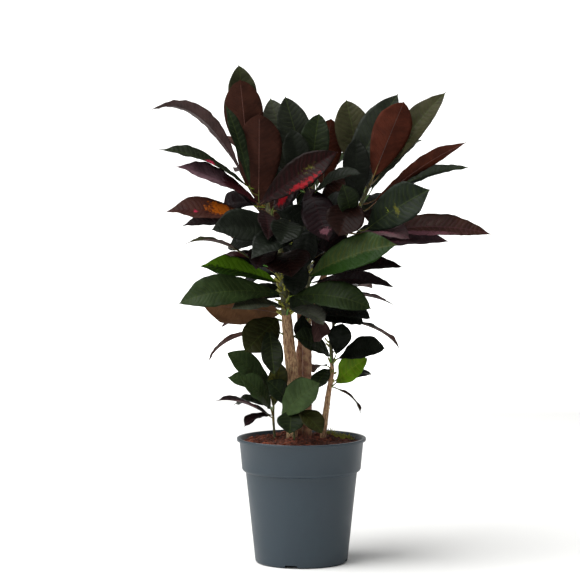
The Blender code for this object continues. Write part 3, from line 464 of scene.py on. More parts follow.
# Leaves deep among the others, placed once those that stand out are in their places. Most take the black
# finish, which is darkened as painted shade.
INNER_LEAVES = {
    "shoot_left": [
        ((-6.4, 57.4, -3), (-5.4, 52.4, -7.5), 3.4, 0.8, (0.4, 0.5, -1), "deep"),
        ((-1.8, 55.6, -4), (-3.4, 51.6, -10), 5.2, 0.8, (0, 1, -0.8), "black"),
        ((-3, 50.4, -2.5), (-1.6, 46.4, -9.5), 7.4, 1.2, (0, 0.8, -1), "dark_maroon"),
        ((-4.5, 51, -2), (-7.4, 47.6, -9), 4.6, 1.2, (0, 1, -0.6), "deep"),
        ((-4.6, 57.6, -1.4), (-0.6, 60.6, -5), 5.2, 0.8, (0, 0.6, -1), "deep_red"),
        ((-4.2, 57.2, 0.8), (1, 54.4, 1), 5.0, 0.6, (0, 0.7, -1), "black"),
        ((-2.6, 47.4, 0.8), (-9.5, 45.6, 1.6), 5.2, 0.8, (0, 1, -0.8), "black"),
        ((-4.6, 52.2, 0.5), (-12, 51.2, 0.5), 5.2, 0.8, (0, 1, -0.8), "black"),
        ((-4, 48.6, 1.5), (-12, 47.9, 2.5), 5.0, 0.8, (0, 1, -0.8), "black"),
        ((-6.6, 58.4, 1), (-13, 57.4, 2), 5.0, 0.8, (0, 1, -0.8), "deep"),
        ((-2.2, 43.6, 0.8), (-9, 42.4, 2), 5.0, 0.8, (0, 1, -0.8), "green"),
        ((-1.9, 45.2, -1.4), (1.4, 40.8, -2.6), 4.4, 0.6, (0, 0.5, -1), "green"),
    ],
    "shoot_middle": [
        ((0.2, 40.6, -1), (-0.3, 36, -2.4), 3.4, 0.6, (0, 0.3, -1), "black"),
        ((1.6, 55.6, -0.4), (0.6, 47.6, -3.8), 4.8, 0.8, (0, 0.4, -1), "black"),
        ((0.2, 49, 0.6), (-1.2, 43.4, -3), 4.2, 0.8, (0, 0.5, -1), "black"),
        ((1.2, 60.8, -1.5), (4.4, 52.2, -7.4), 5.6, 0.8, (-0.1, 0.4, -1), "deep_spot"),
        ((1.8, 53, -0.5), (7, 50, -6), 5.0, 1.2, (0, 0.8, -1), "deep"),
        ((0.8, 50.5, -0.6), (-2.2, 48.6, -6), 4.6, 1.0, (0, 1, -0.7), "black"),
        ((1.7, 40.4, -1.2), (3.2, 36.2, -3), 3.4, 0.6, (0, 0.3, 1), "purple"),
        ((2, 57, 0.5), (8.6, 57.4, -2), 5.6, 1.0, (0, 1, -1), "black"),
    ],
    "shoot_right": [
        ((9, 58.5, -1.5), (6, 53, -8), 6.2, 1.2, (0, 0.8, -1), "dark_maroon"),
        ((8, 56, -1.5), (6.6, 61.5, -5), 3.8, 0.6, (0, 0.6, -1), "green"),
        ((9.6, 56.8, 1.4), (15.4, 54.2, 2), 5.2, 0.6, (0, 0.8, -1), "dark_maroon"),
    ],
}

# Leaves that the front view hides: how many, the part of the shoot that they grow on, and the span of
# compass directions that they point to, from the right (0 degrees) through the back (90) to the left (180).
HIDDEN_LEAVES = {
    "shoot_left": (9, 0.12, 1.0, 72, 110),
    "shoot_middle": (9, 0.1, 1.0, 55, 120),
    "shoot_right": (8, 0.0, 1.0, 46, 105),
    "shoot_back": (12, 0.0, 1.0, 35, 145),
}
HIDDEN_PETIOLE = 3.2 * CM
HIDDEN_LIFT = 0.6 * CM
HIDDEN_LENGTH = 14 * CM
HIDDEN_LENGTHENING = 3.1 * CM
HIDDEN_WIDTH = 5.0 * CM
HIDDEN_ARCH = 1.4 * CM
HIDDEN_FACING = 1.25
HIDDEN_TURNS = (0, 6, -6, 12, -12, 18, -18)
HIDDEN_LIFTS = (0, -8, 8, -16, 16, -24, -32)
LOWEST_RISE = 8
HIGHEST_RISE = 44
RISE_BEND = 1.3
LENGTH_STEP = 0.37
GOLDEN_SHARE = 0.618034

# What a leaf looks like: the colours of its upper side, underside and veins, how far the vein colour spreads
# over the blade, and its marks. A mark has a colour, how full it is, its centre along and across the blade,
# and its reach along and across it. A fullness near a half breaks up into speckles.
Mark = namedtuple("Mark", "colour full along across reach breadth")
Finish = namedtuple("Finish", "upper under vein spread marks", defaults=((),))
FINISHES = {
    "green": Finish("dark_green", "maroon", "pale_green", 0.08),
    "leafy": Finish("leaf_green", "tan", "pale_green", 0.12),
    "sprout": Finish("sprout_green", "maroon", "pale_green", 0.1),
    # The grey finish's upper side is partly painted sheen.
    "grey": Finish("grey_green", "red_brown", "pale_green", 0.08),
    # The blue finish's upper side is partly painted sheen.
    "blue": Finish("cool_grey", "maroon", "pale_green", 0.05),
    "olive_grey": Finish("olive_green", "olive", "pale_green", 0.1),
    "dark_olive": Finish("dark_olive", "maroon", "pale_green", 0.1),
    # The black finish is partly painted shade. It darkens the leaves deep among the others.
    "black": Finish("black_green", "wine", "dark_green", 0.1),
    "deep": Finish("purple_black", "wine", "wine", 0.1),
    "purple": Finish("purple_grey", "purple_grey", "wine", 0.1),
    # The sheen finish's mauve grey upper side is a painted sheen.
    "sheen": Finish("mauve_grey", "maroon", "mauve", 0.1, (Mark("wine", 1.0, 0.1, 0.0, 0.4, 3.0),)),
    "maroon": Finish("brown", "maroon", "rust", 0.1),
    "brown": Finish("brown", "red_brown", "rust", 0.1),
    "dark_maroon": Finish("dark_brown", "wine", "maroon", 0.1),
    "red_brown": Finish("dark_green", "red_brown", "maroon", 0.12),
    "tan": Finish("dark_green", "tan", "red_brown", 0.12),
    "olive": Finish("dark_olive", "brown", "olive", 0.25, (Mark("olive", 0.6, 0.5, -0.6, 0.7, 0.6),)),
    "lime": Finish("mid_green", "olive", "fresh_green", 0.15, (
        Mark("fresh_green", 1.0, 0.4, 0.6, 0.7, 0.8),
    )),
    "young": Finish("lime", "olive", "yellow_green", 0.2),
    # The bright finish's upper colour is a painted lit half with sheen. The mark is the leaf's own green on
    # its other half.
    "bright": Finish("bright_green", "olive", "olive", 0.2, (Mark("mid_green", 1.0, 0.5, 0.6, 0.8, 0.6),)),
    "slate_spot": Finish("slate_green", "maroon", "pale_green", 0.06, (
        Mark("pink", 0.8, 0.4, -0.3, 0.1, 0.9),
    )),
    "sunset": Finish("brown", "maroon", "wine", 0.3, (
        Mark("orange", 0.7, 0.34, 0.2, 0.3, 1.0), Mark("pink", 0.6, 0.66, -0.2, 0.06, 0.4),
    )),
    "pink_edge": Finish("purple_black", "maroon", "wine", 0.12, (Mark("pink", 0.45, 0.4, 0.95, 0.3, 0.6),)),
    "red_edge": Finish("dark_brown", "wine", "wine", 0.3, (
        Mark("red", 0.62, 0.5, 0.7, 0.34, 0.5), Mark("olive", 0.52, 0.62, 0.0, 0.2, 0.5),
    )),
    "deep_spot": Finish("purple_black", "wine", "wine", 0.1, (Mark("mauve", 0.75, 0.82, 0.0, 0.1, 0.8),)),
    "deep_red": Finish("purple_black", "wine", "wine", 0.1, (Mark("red", 0.75, 0.45, 0.3, 0.3, 0.5),)),
    "spotted": Finish("slate_green", "maroon", "pale_green", 0.1, (
        Mark("olive", 0.7, 0.46, 0.1, 0.05, 0.6), Mark("yellow_green", 0.62, 0.34, -0.2, 0.03, 0.4),
    )),
    "mauve": Finish("mauve_grey", "maroon", "mauve", 0.3, (Mark("mauve", 0.6, 0.5, 0.3, 0.5, 0.6),)),
    "brown_pink": Finish("brown", "maroon", "mauve", 0.12, (Mark("mauve", 0.7, 0.4, 0.8, 0.5, 0.5),)),
}
MARK_LAYERS = ("first_mark", "second_mark")
NO_MARK = Mark("pink", 0.0, 0.5, 0.0, 1.0, 1.0)
# How much lighter the veins are than the underside, and from where to where the soil turns darker towards the
# right.
UNDER_VEIN = (1.8, 1.7, 1.7)
SOIL_REACH = (-0.02, 0.06)
HIDDEN_FINISHES = ("green", "deep", "black", "green", "maroon", "black", "leafy", "purple", "green", "brown")


def linear(hex_colour):
    """Linear red, green and blue of an sRGB hex colour."""
    values = [int(hex_colour[index:index + 2], 16) / 255 for index in (1, 3, 5)]
    return [value / 12.92 if value <= 0.04045 else ((value + 0.055) / 1.055) ** 2.4 for value in values]


def colour(name, description, hex_colour):
    """A colour that a user may change."""
    return FloatVectorProperty(
        name=name, description=description, subtype="COLOR", size=3, min=0, max=1, default=linear(hex_colour)
    )


def length(name, description, millimetres):
    """A length that a user may change."""
    return FloatProperty(
        name=name, description=description, subtype="DISTANCE", unit="LENGTH", min=0, default=millimetres * MM
    )


def count(name, description, default):
    """A number of things that a user may change."""
    return IntProperty(name=name, description=description, min=0, default=default)


def power(name, description, watts):
    """The power of a light that a user may change."""
    return FloatProperty(name=name, description=description, unit="POWER", min=0, default=watts)


class CrotonLeafColours(bpy.types.PropertyGroup):
    """Colours that the leaves are painted with."""

    dark_green: colour("Dark green", "Upper side of most leaves", "#171e12")
    leaf_green: colour("Leaf green", "Upper side of the greener leaves", "#1e2914")
    sprout_green: colour("Sprout green", "Upper side of the suckers' leaves", "#2c3a20")
    mid_green: colour("Mid green", "Lower half of the brightest leaf", "#182c0b")
    # Painted light: the lit half of the brightest leaf, greyer with its sheen, is painted in this colour.
    bright_green: colour("Bright green", "Lit half of the brightest leaf", "#29361b")
    # Painted sheen: this cool grey is partly the leaf's own dark colour and partly the sheen on it.
    cool_grey: colour("Cool grey", "Upper side of a leaf in cool light", "#22241e")
    # Painted sheen: this grey green is partly the leaves' own colour and partly the sheen on them.
    grey_green: colour("Grey green", "Upper side of paler leaves", "#37382f")
    slate_green: colour("Slate green", "Upper side of leaves with spots", "#1a1f17")
    # Partly painted shade: this near-black is the darkest leaves' own colour, and is also given to leaves
    # deep in the crown where shade falls.
    black_green: colour("Black green", "Upper side of the darkest leaves", "#121510")
    olive_green: colour("Olive green", "Upper side of upright leaves", "#2d2c1d")
    dark_olive: colour("Dark olive", "Upper side of older lower leaves", "#22240f")
    olive: colour("Olive", "Lighter half of older lower leaves", "#4a4a1c")
    fresh_green: colour("Fresh green", "Lighter half of the young left leaf", "#4c7014")
    lime: colour("Lime", "Upper side of the youngest leaves", "#4f7112")
    purple_black: colour("Purple black", "Upper side of dark leaves", "#170e0f")
    purple_grey: colour("Purple grey", "Upper side of glossy dark leaves", "#362523")
    # On the leaf with the sheen finish this colour is a painted sheen. On the mauve leaves it is their own
    # colour.
    mauve_grey: colour("Mauve grey", "Upper side of the palest dark leaves", "#4b3b3e")
    dark_brown: colour("Dark brown", "Upper side of the darkest brown leaf", "#180c0a")
    brown: colour("Brown", "Upper side of red-brown leaves", "#301c16")
    maroon: colour("Maroon", "Underside of most leaves", "#321a13")
    wine: colour("Wine", "Underside and veins of dark leaves", "#301114")
    red_brown: colour("Red brown", "Underside of the reddest leaves", "#3c1b11")
    tan: colour("Tan", "Underside of ageing leaves", "#4e3522")
    rust: colour("Rust", "Veins of brown leaves", "#5a342b")
    pale_green: colour("Pale green", "Veins of green leaves", "#3f4b24")
    yellow_green: colour("Yellow green", "Veins of pale leaves, and petioles", "#7c8a2c")
    orange: colour("Orange", "Patches near a leaf's base", "#8f480c")
    red: colour("Red", "Band along a leaf's edge", "#740d16")
    pink: colour("Pink", "Spots and edges of dark leaves", "#8a2238")
    mauve: colour("Mauve", "Broad pale bands", "#5d3a42")


class CrotonLeafSizes(bpy.types.PropertyGroup):
    """Sizes of the leaves' finer form."""

    thickness: length("Blade thickness", "How thick each blade is", 0.5)
    petiole: length("Petiole radius", "Radius of the petiole at its root", 1.3)
    rib: length("Midrib radius", "Radius of the midrib at the middle of the blade", 0.6)
    veins: length("Vein spacing", "Distance between neighbouring side veins", 9.5)
    ripple: length("Ripple", "Height of the small waves along the edge", 2.4)
    along: count("Steps along", "Mesh steps along each blade", 44)
    across: count("Steps across", "Mesh steps across each blade", 12)


class CrotonStemLooks(bpy.types.PropertyGroup):
    """Colours and sizes of the woody cuttings and the green stems."""

    bark: colour("Bark", "Weathered outer bark", "#cfab80")
    furrows: colour("Bark furrows", "Fissures and old scars", "#5e412f")
    reddish: colour("Reddish bark", "Bark of the younger wood", "#83543f")
    green: colour("Green stem", "Skin of the leafy stems", "#585c2c")
    dark: colour("Old green stem", "Corky patches on the leafy stems", "#3b3522")
    scar: colour("Leaf scar", "Where a petiole has dropped off", "#9a8a5c")
    stub: colour("Petiole stub", "Petioles whose blades have dropped", "#8b8a34")
    fissure: length("Fissure depth", "Depth of the bark's fissures", 0.5)
    stub_length: length("Stub length", "Length of a petiole stub", 15)


class CrotonPotLooks(bpy.types.PropertyGroup):
    """Colours and sizes of the pot and the soil."""

    plastic: colour("Pot", "Slate-grey moulded plastic", "#192a35")
    film: colour("Dry film", "Dust and lime on the pot's plastic", "#2d3d45")
    peat: colour("Peat", "Moist peat", "#311a13")
    coir: colour("Coir", "Coir fibre and bark crumbs", "#8f4d36")
    chips: colour("Bark chips", "Orange-brown chips among the peat", "#a8583a")
    moss: colour("Moss", "Tips of the moss and sprouts", "#a8a830")
    dark_moss: colour("Dark moss", "Shaded parts of the moss", "#565c1c")
    sides: count("Pot sides", "Mesh steps round the pot", 144)
    crumbs: count("Crumbs", "How many crumbs lie on the soil", 620)
    crumb: length("Crumb size", "Radius of a middling crumb", 2.4)
    fibres: count("Fibres", "How many coir fibres lie on the soil", 110)
    moss_tufts: count("Moss tufts", "How many tufts the moss has", 90)
    sprouts: count("Sprouts", "How many small sprouts come up", 16)


class CrotonStage(bpy.types.PropertyGroup):
    """The studio round the plant."""

    floor: colour("Floor", "Seamless pale floor", "#f4f4f2")
    key: power("Key light", "Power of the soft light", 306)
    backdrop: power("Backdrop", "Power on the sweep behind", 420)
    surround: FloatProperty(name="Surround", description="Brightness of the surround", min=0, default=0.24)


def node(tree, kind, inputs=None, out=0, **settings):
    """Adds a node with its settings, and a value or a link for each input. Returns one of its outputs."""
    made = tree.nodes.new("ShaderNode" + kind)
    for name, value in settings.items():
        setattr(made, name, value)
    for socket, value in (inputs or {}).items():
        if isinstance(value, bpy.types.NodeSocket):
            tree.links.new(value, made.inputs[socket])
        else:
            made.inputs[socket].default_value = value
    return made.outputs[out]


def new_material(name, roughness):
    """A material with its node tree and its Principled shader's inputs."""
    material = bpy.data.materials.new(name)
    material.use_nodes = True
    tree = material.node_tree
    inputs = tree.nodes["Principled BSDF"].inputs
    inputs["Roughness"].default_value = roughness
    return material, tree, inputs


def grain(tree, size_mm, detail=3.0, roughness=0.55, stretch=1.0):
    """Bumps of this size on the piece's own coordinates, drawn out upwards by the stretch."""
    place = node(tree, "TexCoord", out="Object")
    turned = node(tree, "Mapping", {"Vector": place, "Scale": (1, 1, 1 / stretch)})
    inputs = {"Vector": turned, "Scale": 1000 / size_mm, "Detail": detail, "Roughness": roughness}
    return node(tree, "TexNoise", inputs)


def step(low, high, start=0.0, end=1.0):
    """Settings of a smooth step from low to high."""
    return {"From Min": low, "From Max": high, "To Min": start, "To Max": end}


def stained(tree, base, tint, pattern, low, high, most=1.0):
    """Lays a tint over a base colour, up to its most where the pattern rises from low to high."""
    cover = node(tree, "MapRange", {"Value": pattern, **step(low, high, 0.0, most)})
    return node(tree, "Mix", {0: cover, 6: base, 7: (*tint, 1)}, out=2, data_type="RGBA")


def dappled(tree, skin, pattern, darkest, lightest, **settings):
    """A skin colour made darker and lighter in soft patches of the pattern."""
    shade = node(tree, "MapRange", {"Value": pattern, **step(0.3, 0.7, darkest, lightest)}, **settings)
    shade = node(tree, "CombineXYZ", {0: shade, 1: shade, 2: shade})
    return node(tree, "VectorMath", {0: skin, 1: shade}, operation="MULTIPLY")


def finish_skin(tree, shader, base, relief, strength, depth):
    """Gives a shader its base colour, and bumps of this depth from the relief."""
    tree.links.new(base, shader["Base Color"])
    bump = node(tree, "Bump", {"Height": relief, "Strength": strength, "Distance": depth})
    tree.links.new(bump, shader["Normal"])


def leaf_skin(name, upper_side):
    """One side of a croton blade. The waxy cuticle gives a broken sheen, the veins a ladder of relief."""
    sizes = bpy.context.scene.croton_leaf_sizes
    material, tree, shader = new_material(name, 0.5)
    smooth = {"interpolation_type": "SMOOTHSTEP"}
    spot = node(tree, "Attribute", out="Vector", attribute_name="spot")
    along, across, share = [node(tree, "SeparateXYZ", {0: spot}, out=axis) for axis in range(3)]
    across = node(tree, "Math", {0: across}, operation="ABSOLUTE")

    # Side veins leave the midrib at a slant and bend forwards near the edge.
    spacing = sizes.veins / CM
    bend = node(tree, "Math", {0: across, 1: VEIN_BEND, 2: VEIN_SLANT}, operation="MULTIPLY_ADD")
    run = node(tree, "Math", {0: bend, 1: across}, operation="MULTIPLY")
    phase = node(tree, "Math", {0: along, 1: run}, operation="SUBTRACT")
    phase = node(tree, "Math", {0: grain(tree, 32), 1: VEIN_WANDER, 2: phase}, operation="MULTIPLY_ADD")
    nearest = node(tree, "Math", {0: phase, 1: spacing / 2}, operation="PINGPONG")
    fade = node(tree, "MapRange", {"Value": share, **step(0.5, 0.98, 1, 0)}, **smooth)
    line = node(tree, "MapRange", {"Value": nearest, **step(0, VEIN_WIDTH, 1, 0)}, **smooth)
    line = node(tree, "Math", {0: line, 1: fade}, operation="MULTIPLY")
    midrib = node(tree, "MapRange", {"Value": across, **step(*MIDRIB_EDGES, 1, 0)}, **smooth)
    show = UPPER_VEINS if upper_side else LOWER_VEINS
    veins = line
    for operation, value in (("MULTIPLY", 0.6), ("MAXIMUM", midrib), ("MULTIPLY", show)):
        veins = node(tree, "Math", {0: veins, 1: value}, operation=operation)

    # The vein colour spreads from the veins into the blade as far as the finish says.
    vein = node(tree, "Attribute", out="Color", attribute_name="vein")
    spread = node(tree, "Attribute", out="Alpha", attribute_name="vein")
    glow = node(tree, "MapRange", {"Value": nearest, **step(0.02, spacing / 2, 1, 0)}, **smooth)
    for value in (fade, spread):
        glow = node(tree, "Math", {0: glow, 1: value}, operation="MULTIPLY")
    skin = node(tree, "Attribute", out="Color", attribute_name="upper" if upper_side else "under")
    if not upper_side:
        vein = node(tree, "VectorMath", {0: skin, 1: UNDER_VEIN}, operation="MULTIPLY")
    base = dappled(tree, skin, grain(tree, 22, 4), 0.72, 1.3, **smooth)
    for cover in (glow, veins):
        base = node(tree, "Mix", {0: cover, 6: base, 7: vein}, out=2, data_type="RGBA")
    for layer in MARK_LAYERS if upper_side else ():
        mark = node(tree, "Attribute", out="Color", attribute_name=layer)
        full = node(tree, "Attribute", out="Alpha", attribute_name=layer)
        ragged = node(tree, "Math", {0: grain(tree, 5, 5, 0.65), 1: full}, operation="ADD")
        patch = node(tree, "MapRange", {"Value": ragged, **step(0.92, 1.12)}, **smooth)
        base = node(tree, "Mix", {0: patch, 6: base, 7: mark}, out=2, data_type="RGBA")

    # The wax dulls and shines in patches. Side veins are sunk on the upper side and raised underneath.
    gloss = step(0.3, 0.7, 0.3, 0.48) if upper_side else step(0.3, 0.7, 0.5, 0.65)
    tree.links.new(node(tree, "MapRange", {"Value": grain(tree, 40, 2), **gloss}), shader["Roughness"])
    shader["Specular IOR Level"].default_value = 0.05 if upper_side else 0.06
    relief = node(tree, "Math", {0: line, 1: -0.8 if upper_side else 0.8}, operation="MULTIPLY")
    relief = node(tree, "Math", {0: nearest, 1: 0.8, 2: relief}, operation="MULTIPLY_ADD")
    relief = node(tree, "Math", {0: grain(tree, 1.5, 2), 1: 0.15, 2: relief}, operation="MULTIPLY_ADD")
    finish_skin(tree, shader, base, relief, 0.75, 1.05 * MM)
    return material


def rib_skin():
    """Petiole and midrib tissue: smooth and fleshy, its colour kept on the mesh."""
    material, tree, shader = new_material("petiole_tissue", 0.42)
    skin = node(tree, "Attribute", out="Color", attribute_name="rib")
    tree.links.new(dappled(tree, skin, grain(tree, 5), 0.75, 1.25), shader["Base Color"])
    return material


def stem_skin(name, skin, furrow, spots, grain_mm, roughness):
    """Croton stem: corky streaks drawn out lengthwise over the skin, with pale dots of lenticels."""
    scar = bpy.context.scene.croton_stem_looks.scar
    material, tree, shader = new_material(name, roughness)
    streaks = grain(tree, grain_mm, 6, 0.7, 4.5)
    base = stained(tree, (*furrow, 1), skin, streaks, 0.4, 0.58)
    base = stained(tree, base, spots, grain(tree, 14, 4), 0.42, 0.68, 0.5)
    base = stained(tree, base, scar, grain(tree, 2.4, 1, 0.4, 0.6), 0.66, 0.74, 0.6)
    finish_skin(tree, shader, base, streaks, 0.7, 0.7 * MM)
    return material


def plain_skin(name, light, dark, size_mm, roughness):
    """A dull material of two tones in patches of this size."""
    material, tree, shader = new_material(name, roughness)
    base = stained(tree, (*dark, 1), light, grain(tree, size_mm, 4, 0.6), 0.35, 0.65)
    finish_skin(tree, shader, base, grain(tree, size_mm / 4), 0.8, 0.4 * MM)
    return material


def pot_skin():
    """Moulded polypropylene: satin slate grey, with a faint dry film and faint lighter streaks drawn out
    upwards.
    """
    looks = bpy.context.scene.croton_pot_looks
    material, tree, shader = new_material("moulded_polypropylene", 0.48)
    film = grain(tree, 55, 5, 0.6)
    base = stained(tree, (*looks.plastic, 1), looks.film, film, 0.45, 0.75, 0.3)
    # Faint lighter streaks drawn out upwards, in the film's colour.
    base = stained(tree, base, looks.film, grain(tree, 6, 6, 0.7, 6), 0.62, 0.72, 0.2)
    tree.links.new(node(tree, "MapRange", {"Value": film, **step(0.3, 0.7, 0.42, 0.55)}), shader["Roughness"])
    finish_skin(tree, shader, base, grain(tree, 0.7, 2), 0.25, 0.1 * MM)
    return material


def soil_skin():
    """Peat with coir: dull and fibrous, dark crumbs between redder ones, darker towards the right."""
    looks = bpy.context.scene.croton_pot_looks
    material, tree, shader = new_material("peat_and_coir", 0.95)
    crumbs = grain(tree, 2, 3, 0.6)
    across = node(tree, "SeparateXYZ", {0: node(tree, "TexCoord", out="Object")})
    base = stained(tree, (*looks.peat, 1), looks.coir, grain(tree, 7, 5, 0.7), 0.38, 0.64)
    base = stained(tree, base, looks.chips, grain(tree, 11, 4, 0.7), 0.53, 0.6, 0.8)
    # The soil turns darker towards the right.
    base = stained(tree, base, looks.peat, across, *SOIL_REACH, 0.6)
    base = stained(tree, base, looks.peat, crumbs, 0.4, 0.7, 0.55)
    finish_skin(tree, shader, base, crumbs, 0.9, 1.2 * MM)
    return material


def around(angle, radius=1.0, height=0.0):
    """The point at this angle and radius round the upright axis, at this height."""
    return Vector((radius * math.cos(angle), radius * math.sin(angle), height))


def arc(centre, radius, start, end, steps):
    """Points on an arc in a profile, from one angle in degrees to another."""
    angles = [math.radians(start + (end - start) * index / steps) for index in range(steps + 1)]
    return [(centre[0] + radius * math.cos(a), centre[1] + radius * math.sin(a)) for a in angles]


def spin_profile(shape, profile, steps):
    """Turns a profile of radii and heights into a round surface."""
    points = [shape.verts.new((radius, 0, height)) for radius, height in profile]
    edges = [shape.edges.new(pair) for pair in zip(points, points[1:])]
    bmesh.ops.spin(
        shape, geom=points + edges, cent=(0, 0, 0), axis=(0, 0, 1), angle=math.tau, steps=steps,
        use_merge=True,
    )
    bmesh.ops.remove_doubles(shape, verts=shape.verts, dist=TOUCH)


def edges_of(faces):
    """The edges of these faces, each of them once."""
    return list({edge for face in faces for edge in face.edges})


def link_object(name, data):
    """A new object in the scene that shows this data."""
    made = bpy.data.objects.new(name, data)
    bpy.context.scene.collection.objects.link(made)
    return made


def tree_of(mesh):
    """A tree that finds what crosses a mesh."""
    points = [vertex.co.copy() for vertex in mesh.vertices]
    return BVHTree.FromPolygons(points, [tuple(face.vertices) for face in mesh.polygons])


def body_radius(height):
    """Outer radius of the tapered body below the band."""
    rise = (height - FOOT_ROUND) / (BODY_TOP - FOOT_ROUND)
    return BODY_FOOT_RADIUS + (BODY_TOP_RADIUS - BODY_FOOT_RADIUS) * rise


def wall_inside(top, inset):
    """The pot's inner wall as profile points from the floor up, set in from its outer surface."""
    floor = FLOOR_RAISE + FLOOR_THICKNESS
    band_slope = (BAND_TOP_RADIUS - BAND_FOOT_RADIUS) / (POT_HEIGHT - BAND_FOOT)
    top_radius = BAND_FOOT_RADIUS + band_slope * (top - BAND_FOOT)
    return [
        (body_radius(floor) - inset - FLOOR_ROUND, floor),
        (body_radius(floor + FLOOR_ROUND) - inset, floor + FLOOR_ROUND),
        (BODY_TOP_RADIUS - inset, BODY_TOP),
        (BAND_FOOT_RADIUS - inset, BAND_FOOT + inset),
        (top_radius - inset, top),
    ]


def seen_at(place):
    """The point that the front view shows at this sideways position and height, at this depth (cm)."""
    sideways, height, depth = (value * CM for value in place)
    reach = (EYE_DISTANCE + depth) / EYE_DISTANCE
    return Vector((sideways * reach, depth, EYE_HEIGHT + (height - EYE_HEIGHT) * reach))


def smooth_route(places):
    """Points along one smooth curve through these front-view places."""
    knots = [seen_at(place) for place in places]
    ends = [2 * knots[0] - knots[1], *knots, 2 * knots[-1] - knots[-2]]
    route = []
    for a, b, c, d in zip(ends, ends[1:], ends[2:], ends[3:]):
        steps = max(1, round((c - b).length / STEM_STEP))
        for index in range(steps):
            t = index / steps
            bend = (2 * a - 5 * b + 4 * c - d) * t**2 + (3 * b - a - 3 * c + d) * t**3
            route.append(0.5 * (2 * b + (c - a) * t + bend))
    return [*route, knots[-1]]


def seated_route(carrier, places):
    """A shoot's route: face to face with the end of what carries it, and on through these places."""
    along = (carrier[-1] - carrier[-2]).normalized()
    foot = carrier[-1] + along * GAP
    return [foot, foot + along * SEAT_RUN, *smooth_route(places)]


def stem_routes():
    """The route of every stem, by name."""
    routes = {}
    for name, (carrier, places, _, _, _) in STEMS.items():
        if name.startswith("shoot"):
            routes[name] = seated_route(routes[carrier], places)
        else:
            routes[name] = smooth_route(places)
    return routes


def route_point(route, share):
    """The point at this share of a route's length."""
    spans = [(end - start).length for start, end in zip(route, route[1:])]
    left = share * sum(spans)
    for start, end, span in zip(route, route[1:], spans):
        if left <= span:
            return start.lerp(end, left / span)
        left -= span
    return route[-1]


def swelling(index, last):
    """How much a stem swells or narrows at a point of its route, as a share of its radius."""
    return KNOBS * math.sin(KNOB_STEP * index) if 1 < index < last - 1 else 0


def stem_core(name, route, foot_radius, top_radius, sides):
    """The mesh of a tapering stem along a route, as plain as in the frame."""
    curve = bpy.data.curves.new(name, "CURVE")
    curve.dimensions = "3D"
    curve.bevel_depth = MM
    curve.bevel_resolution = sides // 2 - 2
    curve.use_fill_caps = True
    spline = curve.splines.new("POLY")
    last = len(route) - 1
    spline.points.add(last)
    for index, (point, place) in enumerate(zip(spline.points, route)):
        point.co = (*place, 1)
        point.radius = foot_radius + (top_radius - foot_radius) * index / last
        point.radius *= 1 + swelling(index, last)
    made = link_object(name, curve)
    graph = bpy.context.evaluated_depsgraph_get()
    mesh = bpy.data.meshes.new_from_object(made.evaluated_get(graph), depsgraph=graph)
    bpy.data.objects.remove(made)
    bpy.data.curves.remove(curve)
    return mesh


def half_width(share, bluntness):
    """A croton blade's half width at a share of its length, as a share of the widest."""
    return math.sin(math.pi * share**BROADEST_SHIFT) ** bluntness if 0 < share < 1 else 0


class Leaf:
    """One leaf: its petiole's root, and a blade from its base to its tip over an arched midrib."""

    def __init__(self, root, base, tip, width, arch, facing, roll=0.0):
        chord = tip - base
        facing = Vector((facing[0], facing[2], facing[1]))
        self.up = (facing - facing.project(chord)).normalized()
        self.up = Matrix.Rotation(roll, 3, chord.normalized()) @ self.up
        self.root, self.base, self.tip = root, base, tip
        self.crown = (base + tip) / 2 + self.up * 2 * arch + chord.normalized() * LEAN * arch
        self.width = width
        self.bluntness = BLUNTNESS + NARROW_POINT * max(0, BROAD_RATIO - width / chord.length)
        self.bluntness += SMALL_POINT * max(0, 1 - chord.length / SMALL_LEAF)

    def at(self, share):
        """Midrib point and the blade's sideways and upward directions there."""
        place = self.base * (1 - share) ** 2 + self.crown * 2 * share * (1 - share) + self.tip * share**2
        along = (self.crown - self.base) * (1 - share) + (self.tip - self.crown) * share
        upward = (self.up - self.up.project(along)).normalized()
        return place, along.normalized().cross(upward), upward

    def petiole_at(self, share):
        """The petiole's root, or its end where the blade starts, and its directions there."""
        _, sideways, upward = self.at(0)
        along = (self.base - self.root).normalized()
        if share == 0:
            along = (along + upward.cross(sideways)).normalized()
        sideways = (sideways - sideways.project(along)).normalized()
        return self.root if share is None else self.base, sideways, sideways.cross(along)

    def doubles_back(self):
        """Whether the blade turns back over its own petiole."""
        outwards = (self.base - self.root).normalized()
        return outwards.dot((self.crown - self.base).normalized()) < SHARPEST_BEND

    def edge_wave(self, station, side):
        """How far the blade's edge is waved up or down at a station."""
        return WAVE * math.sin(WAVE_STEP * station + WAVE_SIDE * side + WAVE_SPREAD * self.width)

    def points(self, lift=0.0, spread=0.0):
        """Three points across the leaf at each station, from the petiole's root to the tip."""
        rows = []
        for station, share in enumerate((None, *BLADE_STATIONS)):
            place, sideways, upward = self.at(share) if share else self.petiole_at(share)
            narrow = TIP_HALF_WIDTH if share == 1 else PETIOLE_HALF_WIDTH
            half = max(narrow, self.width / 2 * half_width(share or 0, self.bluntness)) + spread
            inside = share and share < 1
            for side in (-1, 0, 1):
                raised = half * abs(side) * math.sin(FOLD) if inside else 0
                if inside and side:
                    raised += self.edge_wave(station, side)
                rows.append(place + sideways * side * half + upward * (raised + lift))
        return rows


def sheet_faces(first_station=0):
    """Triangles of a leaf's three-point-wide sheet, from this station on."""
    faces = []
    for station in range(first_station, len(BLADE_STATIONS)):
        for side in (0, 1):
            a = 3 * station + side
            faces += [(a, a + 1, a + 4), (a, a + 4, a + 3)]
    return faces


WHOLE_LEAF = sheet_faces()
BLADE_ONLY = sheet_faces(2)


